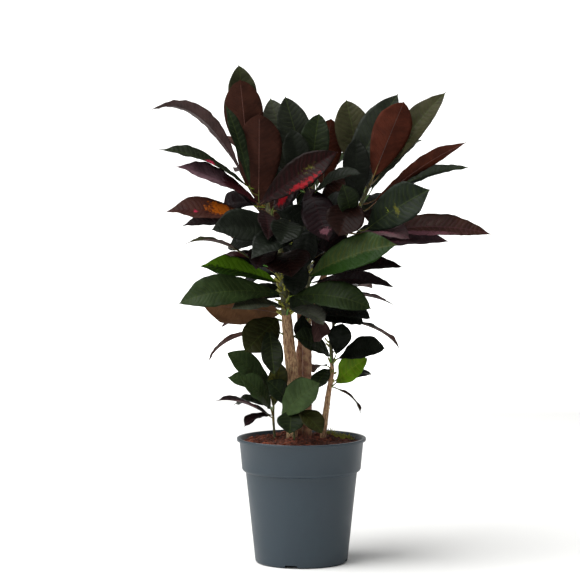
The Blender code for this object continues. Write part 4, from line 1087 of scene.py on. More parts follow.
class Crowd:
    """Everything placed so far, to keep a new leaf clear of it."""

    def __init__(self):
        self.solids = []

    def add_solid(self, owner, mesh):
        """Adds a stem, the pot or the soil. A stem's own petioles may run into it, but not their blades."""
        self.solids.append((owner, tree_of(mesh), None))

    def add_leaf(self, owner, leaf):
        """Adds a leaf. A petiole of its own stem may cross its petiole, but not its blade."""
        points = leaf.points()
        whole = BVHTree.FromPolygons(points, WHOLE_LEAF, all_triangles=True)
        blade = BVHTree.FromPolygons(points, BLADE_ONLY, all_triangles=True)
        self.solids.append((owner, whole, blade))

    def crossings(self, owner, leaf):
        """How many other nodes' solids and how many of its own node's this leaf would cross."""
        layers = [leaf.points(lift, CLEAR / 2) for lift in (-CLEAR, 0, CLEAR)]
        points = [point for layer in layers for point in layer]
        count = len(layers[0])
        trees = []
        for faces in (WHOLE_LEAF, BLADE_ONLY):
            stacked = [tuple(i + count * layer for i in face) for layer in range(3) for face in faces]
            trees.append(BVHTree.FromPolygons(points, stacked, all_triangles=True))
        new_whole, new_blade = trees
        others = own = 0
        for other, whole, blade in self.solids:
            if other != owner:
                others += bool(new_whole.overlap(whole))
            elif new_blade.overlap(whole) or (blade and new_whole.overlap(blade)):
                own += 1
        return others, own

    def settle(self, owner, choices):
        """Adds the first choice that crosses nothing, else the one that crosses its own node's the least."""
        best, fewest = None, math.inf
        for leaf in choices:
            if leaf.doubles_back():
                continue
            others, own = self.crossings(owner, leaf)
            if others == 0 and own < fewest:
                best, fewest = leaf, own
            if fewest == 0:
                break
        if best is not None:
            self.add_leaf(owner, best)
        return best


def root_on(route, base):
    """Where a leaf's petiole leaves its stem: below the nearest point, so that it rises outwards."""
    travelled, nearest, reach = 0, 0, math.inf
    for start, end in zip(route, route[1:]):
        along = end - start
        share = min(1, max(0, (base - start).dot(along) / along.length_squared))
        distance = (start + along * share - base).length
        if distance < reach:
            nearest, reach = travelled + along.length * share, distance
        travelled += along.length
    lowest, highest = ROOT_MARGIN, travelled - ROOT_MARGIN
    fall = max(ROOT_FALL * reach, math.sqrt(max(0, SHORTEST_PETIOLE**2 - reach**2)))
    return route_point(route, min(highest, max(lowest, nearest - fall)) / travelled)


def seen_leaf_choices(route, row):
    """A leaf as the front view shows it, then the same outline at other depths and slight rolls."""
    base, tip, width, arch, facing, _ = row
    choices = itertools.product(TIP_SHIFTS, ROLLS, BASE_SHIFTS)
    for tip_shift, roll, base_shift in sorted(choices, key=lambda c: abs(c[0]) + abs(c[1]) / 6 + abs(c[2])):
        base_point = seen_at((base[0], base[1], base[2] + base_shift))
        tip_point = seen_at((tip[0], tip[1], tip[2] + tip_shift))
        root = root_on(route, base_point)
        yield Leaf(root, base_point, tip_point, width * CM, arch * CM, facing, math.radians(roll))


def hidden_leaf_choices(route, index, rule):
    """A leaf behind the front ones, set round its shoot by the golden share, then nearby directions."""
    total, low, high, first, last = rule
    rise_share = (index + 0.5) / total
    root = route_point(route, low + (high - low) * rise_share)
    compass = first + (last - first) * (index * GOLDEN_SHARE % 1)
    steepness = LOWEST_RISE + (HIGHEST_RISE - LOWEST_RISE) * rise_share**RISE_BEND
    reach = HIDDEN_LENGTH + HIDDEN_LENGTHENING * (index * LENGTH_STEP % 1)
    choices = itertools.product(HIDDEN_TURNS, HIDDEN_LIFTS)
    for turn, lift in sorted(choices, key=lambda c: abs(c[0]) + abs(c[1])):
        across = math.radians(compass + turn)
        rise = math.radians(steepness + lift)
        out = around(across, math.cos(rise), math.sin(rise))
        base = root + out * HIDDEN_PETIOLE + Vector((0, 0, HIDDEN_LIFT))
        facing = (-math.cos(across), HIDDEN_FACING, -math.sin(across))
        yield Leaf(root, base, base + out * reach, HIDDEN_WIDTH, HIDDEN_ARCH, facing)


def place_leaves(routes):
    """Every shoot's leaves with their finishes, each one clear of the stems and of the leaves before it."""
    crowd = Crowd()
    for name, (_, _, foot_radius, top_radius, sides) in STEMS.items():
        if name in OUTER_LEAVES or name in HIDDEN_LEAVES:
            mesh = stem_core(name, routes[name], foot_radius, top_radius, sides)
            crowd.add_solid(name, mesh)
            bpy.data.meshes.remove(mesh)
        elif name != "prong":
            crowd.add_solid(name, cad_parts[name].data)
    for name in ("pot", "soil"):
        crowd.add_solid(name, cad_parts[name].data)
    leaves = {name: [] for name in (*OUTER_LEAVES, *HIDDEN_LEAVES)}
    for name, rows in (*OUTER_LEAVES.items(), *INNER_LEAVES.items()):
        for row in rows:
            leaves[name].append((crowd.settle(name, seen_leaf_choices(routes[name], row)), row[-1]))
    finishes = itertools.cycle(HIDDEN_FINISHES)
    for name, rule in HIDDEN_LEAVES.items():
        for index in range(rule[0]):
            leaf = crowd.settle(name, hidden_leaf_choices(routes[name], index, rule))
            leaves[name].append((leaf, next(finishes)))
    return {name: [(leaf, finish) for leaf, finish in grown if leaf] for name, grown in leaves.items()}


def shaped_object(name, shape, materials):
    """A new object of this bmesh, smooth, which uses the bmesh up."""
    mesh = bpy.data.meshes.new(name)
    shape.to_mesh(mesh)
    shape.free()
    for material in materials:
        mesh.materials.append(material)
    mesh.shade_smooth()
    return link_object(name, mesh)


def new_piece(name, shape, materials, nodes):
    """Makes a piece of this bmesh, riding on the frame and standing for these nodes."""
    made = shaped_object(name, shape, materials)
    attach(made, "root")
    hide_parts(*nodes)
    return made


def soil_spots(draws, total, centre, reach):
    """Seeded points on the soil within reach of a centre, none of them on a stem or over the edge."""
    ground = tree_of(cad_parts["soil"].data)
    found = []
    while len(found) < total:
        out = reach * math.sqrt(draws.random())
        above = centre + around(draws.uniform(0, math.tau), out, DROP_HEIGHT)
        hit = ground.ray_cast(above, Vector((0, 0, -1)))[0]
        if hit is not None and hit.z > SOIL_EDGE - DEEPEST_LANDING:
            found.append(hit)
    return found


def add_crumb(shape, place, size, draws):
    """An uneven crumb, half sunk into the soil."""
    stretch = Vector([draws.uniform(*limits) for limits in CRUMB_STRETCH]) * size
    turn = Matrix.Rotation(draws.uniform(0, math.tau), 4, "Z")
    turn = turn @ Matrix.Rotation(draws.uniform(-CRUMB_LEAN, CRUMB_LEAN), 4, "X")
    place = place + Vector((0, 0, size * CRUMB_RISE))
    matrix = Matrix.Translation(place) @ turn @ Matrix.Diagonal((*stretch, 1))
    for vertex in bmesh.ops.create_icosphere(shape, subdivisions=1, radius=1, matrix=matrix)["verts"]:
        vertex.co += Vector([draws.gauss(0, CRUMB_UNEVEN) for _ in range(3)]) * size


def rolled_tube(shape, rings, sides, point_at, material=0):
    """A sheet rolled into a closed tube. Each point comes from a share along it and a turn round it."""
    sheet = bmesh.ops.create_grid(shape, x_segments=rings, y_segments=sides, size=1)["verts"]
    for vertex in sheet:
        vertex.co = point_at((vertex.co.x + 1) / 2, math.pi * (vertex.co.y + 1))
    for face in {face for vertex in sheet for face in vertex.link_faces}:
        face.material_index = material
    bmesh.ops.remove_doubles(shape, verts=sheet, dist=TOUCH / 5)
    return [vertex for vertex in sheet if vertex.is_valid]


class Track:
    """A line that a tube follows, with steady sideways directions along it."""

    def __init__(self, route):
        self.route = route
        self.reach = [0.0]
        for start, end in zip(route, route[1:]):
            self.reach.append(self.reach[-1] + (end - start).length)
        self.length = self.reach[-1]
        self.sideways = []
        sideways = Vector((1, 0, 0))
        for index in range(len(route)):
            along = self.along(index)
            sideways = (sideways - sideways.project(along)).normalized()
            self.sideways.append(sideways)

    def along(self, index):
        """The direction in which the line runs at a point of its route."""
        before, after = max(index - 1, 0), min(index + 1, len(self.route) - 1)
        return (self.route[after] - self.route[before]).normalized()

    def point(self, share, turn, radius):
        """The point at this share of the length, turned round the line at this radius."""
        travelled = min(1, max(0, share)) * self.length
        index = bisect.bisect_right(self.reach, travelled, 1, len(self.route) - 1) - 1
        part = (travelled - self.reach[index]) / max(self.reach[index + 1] - self.reach[index], 0.001 * MM)
        sideways = self.sideways[index].lerp(self.sideways[index + 1], part)
        along = self.along(index).lerp(self.along(index + 1), part).normalized()
        sideways = (sideways - sideways.project(along)).normalized()
        outwards = sideways * math.cos(turn) + along.cross(sideways) * math.sin(turn)
        return self.route[index].lerp(self.route[index + 1], part) + outwards * radius


def stem_track(name, routes):
    """The track of a stem and its radius in metres at each share of its length."""
    _, _, foot_radius, top_radius, _ = STEMS[name]
    track = Track(routes[name])
    last = len(track.route) - 1

    def radius(share):
        """The stem's radius, with the swellings of the frame's stem."""
        index = bisect.bisect_right(track.reach, share * track.length, 1, last) - 1
        wide = foot_radius + (top_radius - foot_radius) * share
        return wide * (1 + swelling(index, last) / 2) * MM

    return track, radius


def grow_stem(shape, name, routes, roughness, ring_step, sides):
    """A stem with node rings, uneven bark and closed ends, following the frame's stem."""
    track, radius = stem_track(name, routes)
    rings = round(track.length / ring_step)
    seed = Vector((len(name), ord(name[-1]), 0))

    def place(step_share, turn):
        """A point of the bark. The first and last steps close the stem's ends."""
        share = min(1, max(0, (step_share * rings - 1) / (rings - 2)))
        wide = radius(share) * BARK_INSET
        if share in (0, 1):
            onwards = track.route[-1] - track.route[-2] if share else track.route[0] - track.route[1]
            rim = 0 if step_share in (0, 1) else wide
            return track.point(share, turn, rim) + onwards.normalized() * SEAT_DEPTH
        run = share * track.length
        rough = 0
        for height, often, spacing in BARK_WAVES:
            rough += height * noise.noise(around(turn, often, run / spacing) + seed)
        ring = math.exp(-((run / RING_STEP % 1 - 0.5) / RING_WIDTH) ** 2)
        return track.point(share, turn, wide + roughness * (rough + RING_HEIGHT * ring))

    rolled_tube(shape, rings, sides, place)


def stem_spots(draws, total, low, high, spread):
    """Shares of a stem's length, one in each part of this span, each with a turn round it."""
    for index in range(total):
        share = low + (high - low) * (index + draws.random() * spread) / total
        yield share, draws.uniform(0, math.tau)


def add_scars(shape, name, routes, draws, total, low, high):
    """Raised pads where petioles have dropped, turned at random round a stem."""
    track, radius = stem_track(name, routes)
    for share, turn in stem_spots(draws, total, low, high, SCAR_SPREAD):
        place = track.point(share, turn, radius(share) * SCAR_SEAT)
        out = (place - track.point(share, 0, 0)).normalized()
        outwards = out.to_track_quat("Z", "Y").to_matrix().to_4x4()
        long, wide, high_up = SCAR_SIZES
        size = Matrix.Diagonal((draws.uniform(*long) * MM, draws.uniform(*wide) * MM, high_up * MM, 1))
        matrix = Matrix.Translation(place) @ outwards @ size
        bmesh.ops.create_icosphere(shape, subdivisions=2, radius=1, matrix=matrix)


def add_stubs(shape, name, routes, draws, total, low, high, rib):
    """Short stubs of petioles whose blades have dropped, pointing up and outwards."""
    track, radius = stem_track(name, routes)
    looks = bpy.context.scene.croton_stem_looks
    for share, turn in stem_spots(draws, total, low, high, 1):
        foot = track.point(share, turn, radius(share) * STUB_SUNK)
        out = (foot - track.point(share, 0, 0)).normalized()
        long = looks.stub_length * draws.uniform(*STUB_LENGTHS)
        tip = foot + (out + Vector((0, 0, draws.uniform(*STUB_CLIMBS)))).normalized() * long
        middle = (foot + tip) / 2 + out * long * STUB_BEND
        stub = Track([foot, middle, tip])
        wide = draws.uniform(*STUB_RADII) * MM

        def place(share, turn):
            """A point of the stub, which swells at its foot and ends round."""
            rounding = max(0, 1 - (1 - min(1, (1 - share) * long / wide)) ** 2) ** 0.5
            thick = wide * (1 + STUB_SWELLING * math.exp(-share * long / SWELLING_LENGTH)) * rounding
            return stub.point(share, turn, 0 if share in (0, 1) else thick)

        tone = draws.uniform(*STUB_TONES)
        for vertex in rolled_tube(shape, rings=8, sides=8, point_at=place, material=1):
            vertex[rib] = (*[value * tone for value in looks.stub], 1)


class BladeForm:
    """The fine form of one leaf's blade over the frame's leaf."""

    def __init__(self, leaf, draws):
        self.leaf = leaf
        self.ripple = bpy.context.scene.croton_leaf_sizes.ripple
        self.phase = draws.uniform(0, 99)
        self.length = (leaf.base - leaf.crown).length + (leaf.crown - leaf.tip).length
        upright = (leaf.tip - leaf.base).normalized().z > UPRIGHT
        self.pointed = draws.uniform(*(UPRIGHT_POINTS if upright else SLANTING_POINTS))

    def half(self, share):
        """Half the blade's width. Past its shoulder it narrows to a point, more so in some leaves."""
        body = half_width(share / BODY_SHARE, self.leaf.bluntness)
        if share > SHOULDER:
            shoulder = half_width(SHOULDER / BODY_SHARE, self.leaf.bluntness)
            point = shoulder * ((1 - share) / (1 - SHOULDER)) ** POINT_CURVE
            body += (point - body) * self.pointed
        body *= self.leaf.width / 2
        thread = TIP_HALF_WIDTH * TIP_KEEPS * (1 - share) ** TIP_FADE
        foot = PETIOLE_HALF_WIDTH * FOOT_KEEPS * (1 - share) ** FOOT_FADE
        return max(body, thread, foot, THINNEST)

    def at(self, share, side):
        """The point of the blade at a share of its length and a signed share of its half width."""
        place, sideways, upward = self.leaf.at(share)
        half = self.half(share)
        station = bisect.bisect_right(BLADE_STATIONS, share, 1, len(BLADE_STATIONS) - 1)
        low, high = BLADE_STATIONS[station - 1], BLADE_STATIONS[station]
        station += (share - low) / (high - low)
        inside = max(0, min(1, station - 1, len(BLADE_STATIONS) - station))
        raised = half * abs(side) * math.sin(FOLD) * inside
        edge = abs(side) ** EDGE_GROWTH * inside
        raised += self.leaf.edge_wave(station, math.copysign(1, side)) * edge
        run = share * self.length / CM
        spot = Vector((RIPPLES_ALONG * run, RIPPLES_ACROSS * side, self.phase))
        raised += self.ripple * noise.noise(spot) * edge
        spread = half * math.cos(FOLD * 0.5)
        return place + sideways * side * spread + upward * raised


def add_blade(shape, leaf, finish, layers, draws):
    """One blade as a fine sheet with its colours on its points."""
    sizes = bpy.context.scene.croton_leaf_sizes
    colours = bpy.context.scene.croton_leaf_colours
    form = BladeForm(leaf, draws)
    tone = draws.uniform(*LEAF_TONES)
    tint = [tone * draws.uniform(*LEAF_TINTS) for _ in range(3)]
    look = FINISHES[finish]
    skins = [[value * shade for value, shade in zip(getattr(colours, name), tint)]
             for name in (look.upper, look.under)]
    sheet = bmesh.ops.create_grid(shape, x_segments=sizes.along, y_segments=sizes.across, size=1)["verts"]
    for vertex in sheet:
        eased = math.sin(vertex.co.x * math.pi / 2)
        share = (1 + CROWDED_STEPS * eased + EVEN_STEPS * vertex.co.x) / 2
        side = -vertex.co.y
        vertex.co = form.at(share, side)
        vertex[layers["spot"]] = (share * form.length / CM, side * form.half(share) / CM, abs(side))
        vertex[layers["upper"]] = (*skins[0], 1)
        vertex[layers["under"]] = (*skins[1], 1)
        vertex[layers["vein"]] = (*getattr(colours, look.vein), look.spread)
        for layer, mark in itertools.zip_longest(MARK_LAYERS, look.marks, fillvalue=NO_MARK):
            near = ((share - mark.along) / mark.reach) ** 2 + ((side - mark.across) / mark.breadth) ** 2
            vertex[layers[layer]] = (*getattr(colours, mark.colour), mark.full * math.exp(-near))


def add_rib(shape, leaf, finish, rib, draws):
    """A petiole that runs on under the blade as its midrib."""
    sizes = bpy.context.scene.croton_leaf_sizes
    colours = bpy.context.scene.croton_leaf_colours
    run = leaf.base - leaf.root
    onwards = (leaf.crown - leaf.base).normalized() * run.length * PETIOLE_END
    outwards = Vector((run.x, run.y, 0)).normalized() * run.length * PETIOLE_BOW
    controls = (leaf.root, leaf.root + run * PETIOLE_START + outwards, leaf.base - onwards, leaf.base)
    points = []
    for index in range(PETIOLE_STEPS):
        t = index / PETIOLE_STEPS
        weights = ((1 - t) ** 3, 3 * t * (1 - t) ** 2, 3 * t**2 * (1 - t), t**3)
        points.append(sum((point * weight for point, weight in zip(controls, weights)), Vector()))
    for index in range(MIDRIB_STEPS + 1):
        share = index / MIDRIB_STEPS * MIDRIB_REACH
        place, _, upward = leaf.at(share)
        points.append(place - upward * (sizes.rib * (1 - share) * MIDRIB_DROP))
    track = Track(points)
    bend = run.length / track.length
    end = sizes.petiole * (1 - PETIOLE_TAPER)

    def place(share, turn):
        """A point of the petiole, and past its bend of the midrib."""
        if share in (0, 1):
            return track.point(share, 0, 0)
        if share < bend:
            swollen = PULVINUS * math.exp(-((share * track.length / PULVINUS_LENGTH) ** 2))
            thick = sizes.petiole * (1 + swollen) * (1 - PETIOLE_TAPER * share / bend)
        else:
            thick = end + (sizes.rib - end) * min(1, (share - bend) * MIDRIB_EASING)
            thick *= 1 - MIDRIB_TAPER * (share - bend) / (1 - bend)
        return track.point(share, turn, thick)

    petiole = [a + (b - a) * draws.random() for a, b in zip(colours.yellow_green, colours.olive)]
    midrib = getattr(colours, FINISHES[finish].vein)
    for vertex in rolled_tube(shape, RIB_RINGS, RIB_SIDES, place, material=1):
        share = min(1, (vertex.co - leaf.base).length / RIB_FADE)
        if (vertex.co - leaf.root).length < run.length:
            share = 0
        vertex[rib] = (*[a + (b - a) * share for a, b in zip(petiole, midrib)], 1)


def dress_shoot(name, routes, leaves, materials, draws):
    """A shoot's blades as one piece, and its stem with petioles and midribs as another."""
    sizes = bpy.context.scene.croton_leaf_sizes
    shape = bmesh.new()
    layers = {"spot": shape.verts.layers.float_vector.new("spot")}
    for layer in ("upper", "under", "vein", *MARK_LAYERS):
        layers[layer] = shape.verts.layers.float_color.new(layer)
    for leaf, finish in leaves:
        add_blade(shape, leaf, finish, layers, draws)
    blades = new_piece("blades_" + name, shape, materials[:2], (name,))
    wall = blades.modifiers.new("Thickness", "SOLIDIFY")
    wall.thickness = sizes.thickness
    wall.offset = 0
    wall.material_offset = 1
    wall.material_offset_rim = 0

    shape = bmesh.new()
    rib = shape.verts.layers.float_color.new("rib")
    grow_stem(shape, name, routes, SHOOT_ROUGHNESS, SHOOT_STEP, SHOOT_SIDES)
    for face in shape.faces:
        middle = face.calc_center_median()
        if middle.z + WOODY_SPREAD * noise.noise(middle / WOODY_PATCH) < WOODY_UP_TO.get(name, 0):
            face.material_index = 2
    if name.startswith("shoot"):
        add_stubs(shape, name, routes, draws, *(MANY_STUBS if name == BARE_SHOOT else FEW_STUBS), rib)
    for leaf, finish in leaves:
        add_rib(shape, leaf, finish, rib, draws)
    new_piece("stem_" + name, shape, materials[2:], (name,))


class CROTON_OT_pot(bpy.types.Operator):
    """Turns the pot and gives it its foot notches and drain holes"""

    bl_idname = "croton.pot"
    bl_label = "Pot"

    def execute(self, context):
        shape = bmesh.new()
        lip_foot = POT_HEIGHT - LIP_HEIGHT
        foot_inside = BODY_FOOT_RADIUS - FOOT_ROUND - FOOT_WIDTH
        profile = wall_inside(POT_HEIGHT - RIM_BREAK, POT_WALL)
        profile += [(profile[-1][0] + RIM_BREAK, POT_HEIGHT)]
        profile += arc((LIP_RADIUS - LIP_ROUND, POT_HEIGHT - LIP_ROUND), LIP_ROUND, 90, 0, ROUND_STEPS)
        profile += [
            (LIP_RADIUS - LIP_DRAFT, lip_foot + LIP_BREAK), (LIP_RADIUS - RIM_BREAK, lip_foot),
            (BAND_TOP_RADIUS + LIP_FILLET, lip_foot), (BAND_TOP_RADIUS, lip_foot - LIP_FILLET),
            (BAND_FOOT_RADIUS, BAND_FOOT + BAND_EASING),
        ]
        shoulder = BAND_FOOT_RADIUS - BODY_TOP_RADIUS
        profile += arc((BODY_TOP_RADIUS, BAND_FOOT), shoulder, 0, -90, SHOULDER_STEPS)
        profile += [(BODY_TOP_RADIUS - NECK_DRAFT, BODY_TOP - NECK_DROP)]
        profile += arc((BODY_FOOT_RADIUS - FOOT_ROUND, FOOT_ROUND), FOOT_ROUND, 0, -90, ROUND_STEPS)
        profile += [(foot_inside, 0), (foot_inside, FLOOR_RAISE)]
        spin_profile(shape, profile, context.scene.croton_pot_looks.sides)
        self.add_floor(shape)
        self.cut_notches(shape)
        bmesh.ops.recalc_face_normals(shape, faces=shape.faces)
        pot = new_piece("grower_pot", shape, [pot_skin()], ("pot",))
        pot.data.set_sharp_from_angle(angle=SHARP_ANGLE)
        return {"FINISHED"}

    def add_floor(self, shape):
        """Fills the raised floor inside its ring, round the drain holes."""
        rings = []
        for height in (FLOOR_RAISE + FLOOR_THICKNESS, FLOOR_RAISE):
            outer = [edge for edge in self.open_edges(shape)
                     if all(abs(vertex.co.z - height) < TOUCH for vertex in edge.verts)]
            holes = []
            for turn in range(DRAIN_COUNT):
                centre = around((turn + 0.5) * math.tau / DRAIN_COUNT, DRAIN_CIRCLE, height)
                circle = bmesh.ops.create_circle(
                    shape, segments=DRAIN_SIDES, radius=DRAIN_RADIUS, matrix=Matrix.Translation(centre)
                )["verts"]
                holes.append(list({edge for vertex in circle for edge in vertex.link_edges}))
            rings.append(holes)
            bmesh.ops.triangle_fill(
                shape, edges=outer + [edge for hole in holes for edge in hole], use_dissolve=False,
                use_beauty=True, normal=(0, 0, 1),
            )
        for upper, lower in zip(*rings):
            bmesh.ops.bridge_loops(shape, edges=upper + lower)

    def cut_notches(self, shape):
        """Opens tapered notches through the foot ring and closes its walls round them."""
        wall = [face for face in shape.faces if min(vertex.co.z for vertex in face.verts) < NOTCH_HEIGHT
                and face.calc_center_median().z > FLOOR_RAISE + NOTCH_HEIGHT]
        self.slice_faces(shape, wall, Vector((0, 0, NOTCH_HEIGHT)), Vector((0, 0, 1)))
        lean = math.atan(NOTCH_WIDTH * (1 - NOTCH_TAPER) / 2 / NOTCH_HEIGHT)
        for turn in range(NOTCH_COUNT):
            outward = around(NOTCH_TURN + turn * math.tau / NOTCH_COUNT)
            along = Vector((-outward.y, outward.x, 0))
            cheeks = [
                (along * side * NOTCH_WIDTH / 2, Vector((*along.xy * side * math.cos(lean), math.sin(lean))))
                for side in (-1, 1)
            ]
            for place, normal in cheeks:
                near = [face for face in self.ring_faces(shape) if face.calc_center_median().dot(outward) > 0]
                self.slice_faces(shape, near, place, normal)
            gone = []
            for face in self.ring_faces(shape):
                middle = face.calc_center_median()
                between = all((middle - place).dot(normal) < 0 for place, normal in cheeks)
                if between and middle.dot(outward) > 0:
                    gone.append(face)
            bmesh.ops.delete(shape, geom=gone, context="FACES")
            roof = [edge for edge in self.open_edges(shape) if edge.verts[0].co.z > FLOOR_RAISE - TOUCH
                    and abs(edge.verts[0].co.z - edge.verts[1].co.z) < TOUCH]
            bmesh.ops.bridge_loops(shape, edges=roof)
            bmesh.ops.holes_fill(shape, edges=self.open_edges(shape), sides=0)

    def open_edges(self, shape):
        """The edges of the shape's openings."""
        return [edge for edge in shape.edges if edge.is_boundary]

    def ring_faces(self, shape):
        """The faces of the foot ring up to the notches' roofs, without the floor's underside."""
        found = []
        for face in shape.faces:
            heights = [vertex.co.z for vertex in face.verts]
            flat_floor = min(heights) > FLOOR_RAISE - TOUCH and max(heights) - min(heights) < TOUCH
            if max(heights) < NOTCH_HEIGHT + TOUCH and not flat_floor:
                found.append(face)
        return found

    def slice_faces(self, shape, faces, place, normal):
        """Cuts edges along a plane into these faces."""
        points = list({vertex for face in faces for vertex in face.verts})
        bmesh.ops.bisect_plane(
            shape, geom=points + edges_of(faces) + faces, dist=TOUCH, plane_co=place, plane_no=normal
        )


class CROTON_OT_soil(bpy.types.Operator):
    """Roughens the soil and scatters crumbs of peat and coir over it"""

    bl_idname = "croton.soil"
    bl_label = "Soil"

    def execute(self, context):
        looks = context.scene.croton_pot_looks
        shape = bmesh.new()
        shape.from_mesh(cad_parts["soil"].data)
        bmesh.ops.remove_doubles(shape, verts=shape.verts, dist=TOUCH)
        for longest in LONGEST_EDGES:
            edges = [edge for edge in edges_of(self.top(shape)) if edge.calc_length() > longest * MM]
            bmesh.ops.subdivide_edges(shape, edges=edges, cuts=1)
            bmesh.ops.triangulate(shape, faces=[face for face in shape.faces if len(face.verts) > 3])
            top = self.top(shape)
            edges = [edge for edge in edges_of(top) if len(edge.link_faces) == 2]
            bmesh.ops.beautify_fill(shape, faces=top, edges=edges)
        for vertex in shape.verts:
            level = all(face.normal.z > STEEPEST_FACING for face in vertex.link_faces)
            if level and vertex.co.z > UPPER_SIDE_FROM:
                spot = vertex.co / MM
                rough = sum(height * noise.noise(spot / size) for height, size in SOIL_WAVES)
                fade = (BAND_TOP_RADIUS - POT_WALL * 2 - vertex.co.xy.length) / SOIL_FADE
                vertex.co.z += rough * SOIL_ROUGHNESS * min(1, max(0, fade))
        skin = soil_skin()
        new_piece("soil_mound", shape, [skin], ("soil",))
        draws = random.Random(SEEDS["crumbs"])
        shape = bmesh.new()
        for spot in soil_spots(draws, looks.crumbs, Vector(), BAND_TOP_RADIUS - CRUMB_MARGIN):
            add_crumb(shape, spot, looks.crumb * draws.lognormvariate(*CRUMB_SIZES), draws)
        made = new_piece("soil_crumbs", shape, [skin], ("soil",))
        made.data.shade_flat()
        return {"FINISHED"}

    def top(self, shape):
        """The faces of the soil's upper side."""
        return [face for face in shape.faces
                if face.normal.z > UPPER_SIDE_FACING and face.calc_center_median().z > UPPER_SIDE_FROM]


class CROTON_OT_litter(bpy.types.Operator):
    """Lays coir fibres on the soil, with moss and small sprouts at the back right"""

    bl_idname = "croton.litter"
    bl_label = "Litter"

    def execute(self, context):
        looks = context.scene.croton_pot_looks
        draws = random.Random(SEEDS["litter"])
        shape = bmesh.new()
        for spot in soil_spots(draws, looks.fibres, Vector(), BAND_TOP_RADIUS - FIBRE_MARGIN):
            self.add_strand(shape, spot, FIBRE, draws)
        skin = plain_skin("coir_fibre", looks.coir, looks.peat, 6, 0.9)
        new_piece("coir_fibres", shape, [skin], ("soil",))

        shape = bmesh.new()
        for spot in soil_spots(draws, looks.moss_tufts, MOSS_PLACE, MOSS_REACH):
            add_crumb(shape, spot, draws.uniform(*MOSS_CRUMBS) * MM, draws)
            self.add_strand(shape, spot, MOSS, draws)
        for spot in soil_spots(draws, looks.sprouts, SPROUT_PLACE, SPROUT_REACH):
            self.add_strand(shape, spot, SPROUT, draws)
        skin = plain_skin("moss_and_sprouts", looks.moss, looks.dark_moss, 3, 0.8)
        new_piece("moss", shape, [skin], ("soil",))
        return {"FINISHED"}

    def add_strand(self, shape, foot, kind, draws):
        """A thin bent strand of this kind that starts from this foot."""
        long = draws.uniform(kind.shortest, kind.longest) * MM
        along = around(draws.uniform(0, math.tau), 1, kind.climb).normalized() * long
        bend = Vector((draws.uniform(-1, 1), draws.uniform(-1, 1), 0.5)) * long * STRAND_BEND
        strand = Track([foot, foot + along / 2 + bend, foot + along])

        def place(share, turn):
            """A point of the strand, which thins towards its tip."""
            return strand.point(share, turn, 0 if share in (0, 1) else kind.thick * MM * (1.1 - share))

        rolled_tube(shape, rings=6, sides=5, point_at=place)


class CROTON_OT_trunks(bpy.types.Operator):
    """Grows the bark of the woody cuttings"""

    bl_idname = "croton.trunks"
    bl_label = "Woody cuttings"

    def execute(self, context):
        looks = context.scene.croton_stem_looks
        draws = random.Random(SEEDS["bark"])
        routes = stem_routes()
        tan = stem_skin("corky_bark", looks.bark, looks.furrows, looks.reddish, 1.8, 0.85)
        red = stem_skin("young_bark", looks.reddish, looks.furrows, looks.bark, 1.5, 0.75)
        skins = {"trunk_left": tan, "trunk_middle": red, "trunk_back": red, "trunk_right": tan}
        for name, skin in skins.items():
            shape = bmesh.new()
            self.grow_bark(shape, name, routes, draws, *CUTTING_BARK)
            if name == "trunk_back":
                self.grow_bark(shape, "prong", routes, draws, *PRONG_BARK)
            new_piece("bark_" + name, shape, [skin], (name,))
        return {"FINISHED"}

    def grow_bark(self, shape, name, routes, draws, sides, scars, low, high):
        """A woody stem's bark, with leaf scars on this span of it."""
        fissure = bpy.context.scene.croton_stem_looks.fissure
        grow_stem(shape, name, routes, fissure, BARK_STEP, sides)
        add_scars(shape, name, routes, draws, scars, low, high)


class CROTON_OT_shoots(bpy.types.Operator):
    """Grows the leafy shoots: stems, petioles, midribs and blades"""

    bl_idname = "croton.shoots"
    bl_label = "Leafy shoots"

    def execute(self, context):
        looks = context.scene.croton_stem_looks
        routes = stem_routes()
        materials = [
            leaf_skin("leaf_upper_cuticle", True), leaf_skin("leaf_underside", False),
            stem_skin("green_stem", looks.green, looks.dark, looks.dark, 2.5, 0.6), rib_skin(),
            stem_skin("woody_shoot_foot", looks.bark, looks.furrows, looks.reddish, 1.8, 0.85),
        ]
        for index, (name, leaves) in enumerate(place_leaves(routes).items()):
            dress_shoot(name, routes, leaves, materials, random.Random(index))
        return {"FINISHED"}


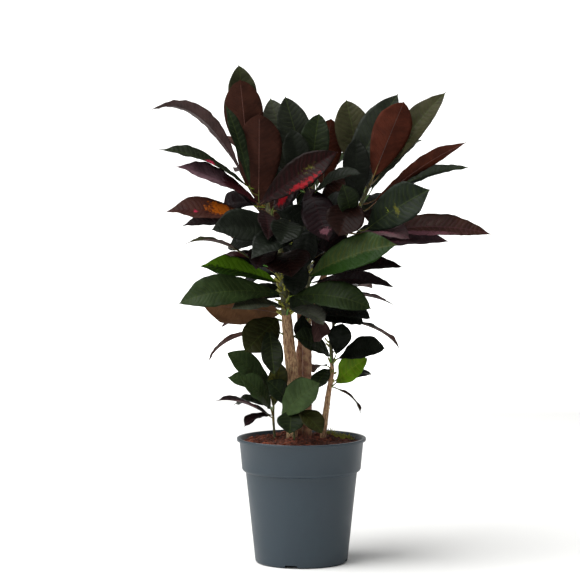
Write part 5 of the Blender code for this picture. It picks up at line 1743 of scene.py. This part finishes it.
class CROTON_OT_stage(bpy.types.Operator):
    """Lays the seamless floor, sets the lights and the camera"""

    bl_idname = "croton.stage"
    bl_label = "Stage"

    def execute(self, context):
        looks = context.scene.croton_stage

        # Matte paper: an even pale ground that takes soft shadows and gives no shine.
        material, _, shader = new_material("matte_paper_floor", 0.9)
        shader["Base Color"].default_value = (*looks.floor, 1)
        shape = bmesh.new()
        sweep = arc((FLOOR_RADIUS, SWEEP_RADIUS), SWEEP_RADIUS, -90, SWEEP_END, SWEEP_STEPS)
        spin_profile(shape, [(0, 0), *sweep], SWEEP_SIDES)
        bmesh.ops.recalc_face_normals(shape, faces=shape.faces)
        floor = shaped_object("floor", shape, [material])
        floor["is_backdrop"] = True

        context.scene.view_settings.view_transform = "Standard"
        world = bpy.data.worlds.new("studio")
        world.use_nodes = True
        context.scene.world = world
        background = world.node_tree.nodes["Background"].inputs
        background["Color"].default_value = (1, 1, 1, 1)
        background["Strength"].default_value = looks.surround
        for name, (place, aim, size, setting, share) in LIGHTS.items():
            light = bpy.data.lights.new(name, "AREA")
            light.size = size
            light.energy = getattr(looks, setting) * share
            lamp = link_object(name, light)
            lamp.location = place
            lamp.rotation_euler = (Vector(aim) - Vector(place)).to_track_quat("-Z", "Y").to_euler()

        camera = bpy.data.cameras.new("camera")
        camera.sensor_width = SENSOR_WIDTH
        camera.lens = LENS
        camera.shift_x = CAMERA_SHIFT
        camera.clip_end = CAMERA_RANGE
        made = link_object("camera", camera)
        made.location = (0, -EYE_DISTANCE, EYE_HEIGHT)
        made.rotation_euler = (math.pi / 2 - CAMERA_PITCH, 0, 0)
        context.scene.camera = made
        return {"FINISHED"}


OPERATORS = (
    CROTON_OT_pot, CROTON_OT_soil, CROTON_OT_litter, CROTON_OT_trunks, CROTON_OT_shoots, CROTON_OT_stage,
)
GROUPS = {
    "croton_leaf_colours": CrotonLeafColours, "croton_leaf_sizes": CrotonLeafSizes,
    "croton_stem_looks": CrotonStemLooks, "croton_pot_looks": CrotonPotLooks, "croton_stage": CrotonStage,
}


class CROTON_PT_panel(bpy.types.Panel):
    """Lists the potted croton's sizes, colours and operators"""

    bl_label = "Potted croton"
    bl_space_type = "VIEW_3D"
    bl_region_type = "UI"
    bl_category = "Croton"

    def draw(self, context):
        for name, group in GROUPS.items():
            box = self.layout.box()
            for prop in group.__annotations__:
                box.prop(getattr(context.scene, name), prop)
        for operator in OPERATORS:
            self.layout.operator(operator.bl_idname)


def register():
    """Makes the settings, the operators and the panel known."""
    for name, group in GROUPS.items():
        bpy.utils.register_class(group)
        setattr(bpy.types.Scene, name, PointerProperty(type=group))
    for made in (*OPERATORS, CROTON_PT_panel):
        bpy.utils.register_class(made)


def unregister():
    """Takes them away again."""
    for made in (CROTON_PT_panel, *reversed(OPERATORS)):
        bpy.utils.unregister_class(made)
    for name, group in reversed(GROUPS.items()):
        delattr(bpy.types.Scene, name)
        bpy.utils.unregister_class(group)


def main():
    """Builds every piece and the stage, and works out the frame's and the finished plant's sizes."""
    register()
    bpy.ops.croton.pot()
    bpy.ops.croton.soil()
    bpy.ops.croton.litter()
    bpy.ops.croton.trunks()
    bpy.ops.croton.shoots()
    bpy.ops.croton.stage()
    boxes = {"cad": CAD_BOX, "visual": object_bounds()}
    {name: [list(corner) for corner in box] for name, box in boxes.items()}


if __name__ == "__main__":
    main()
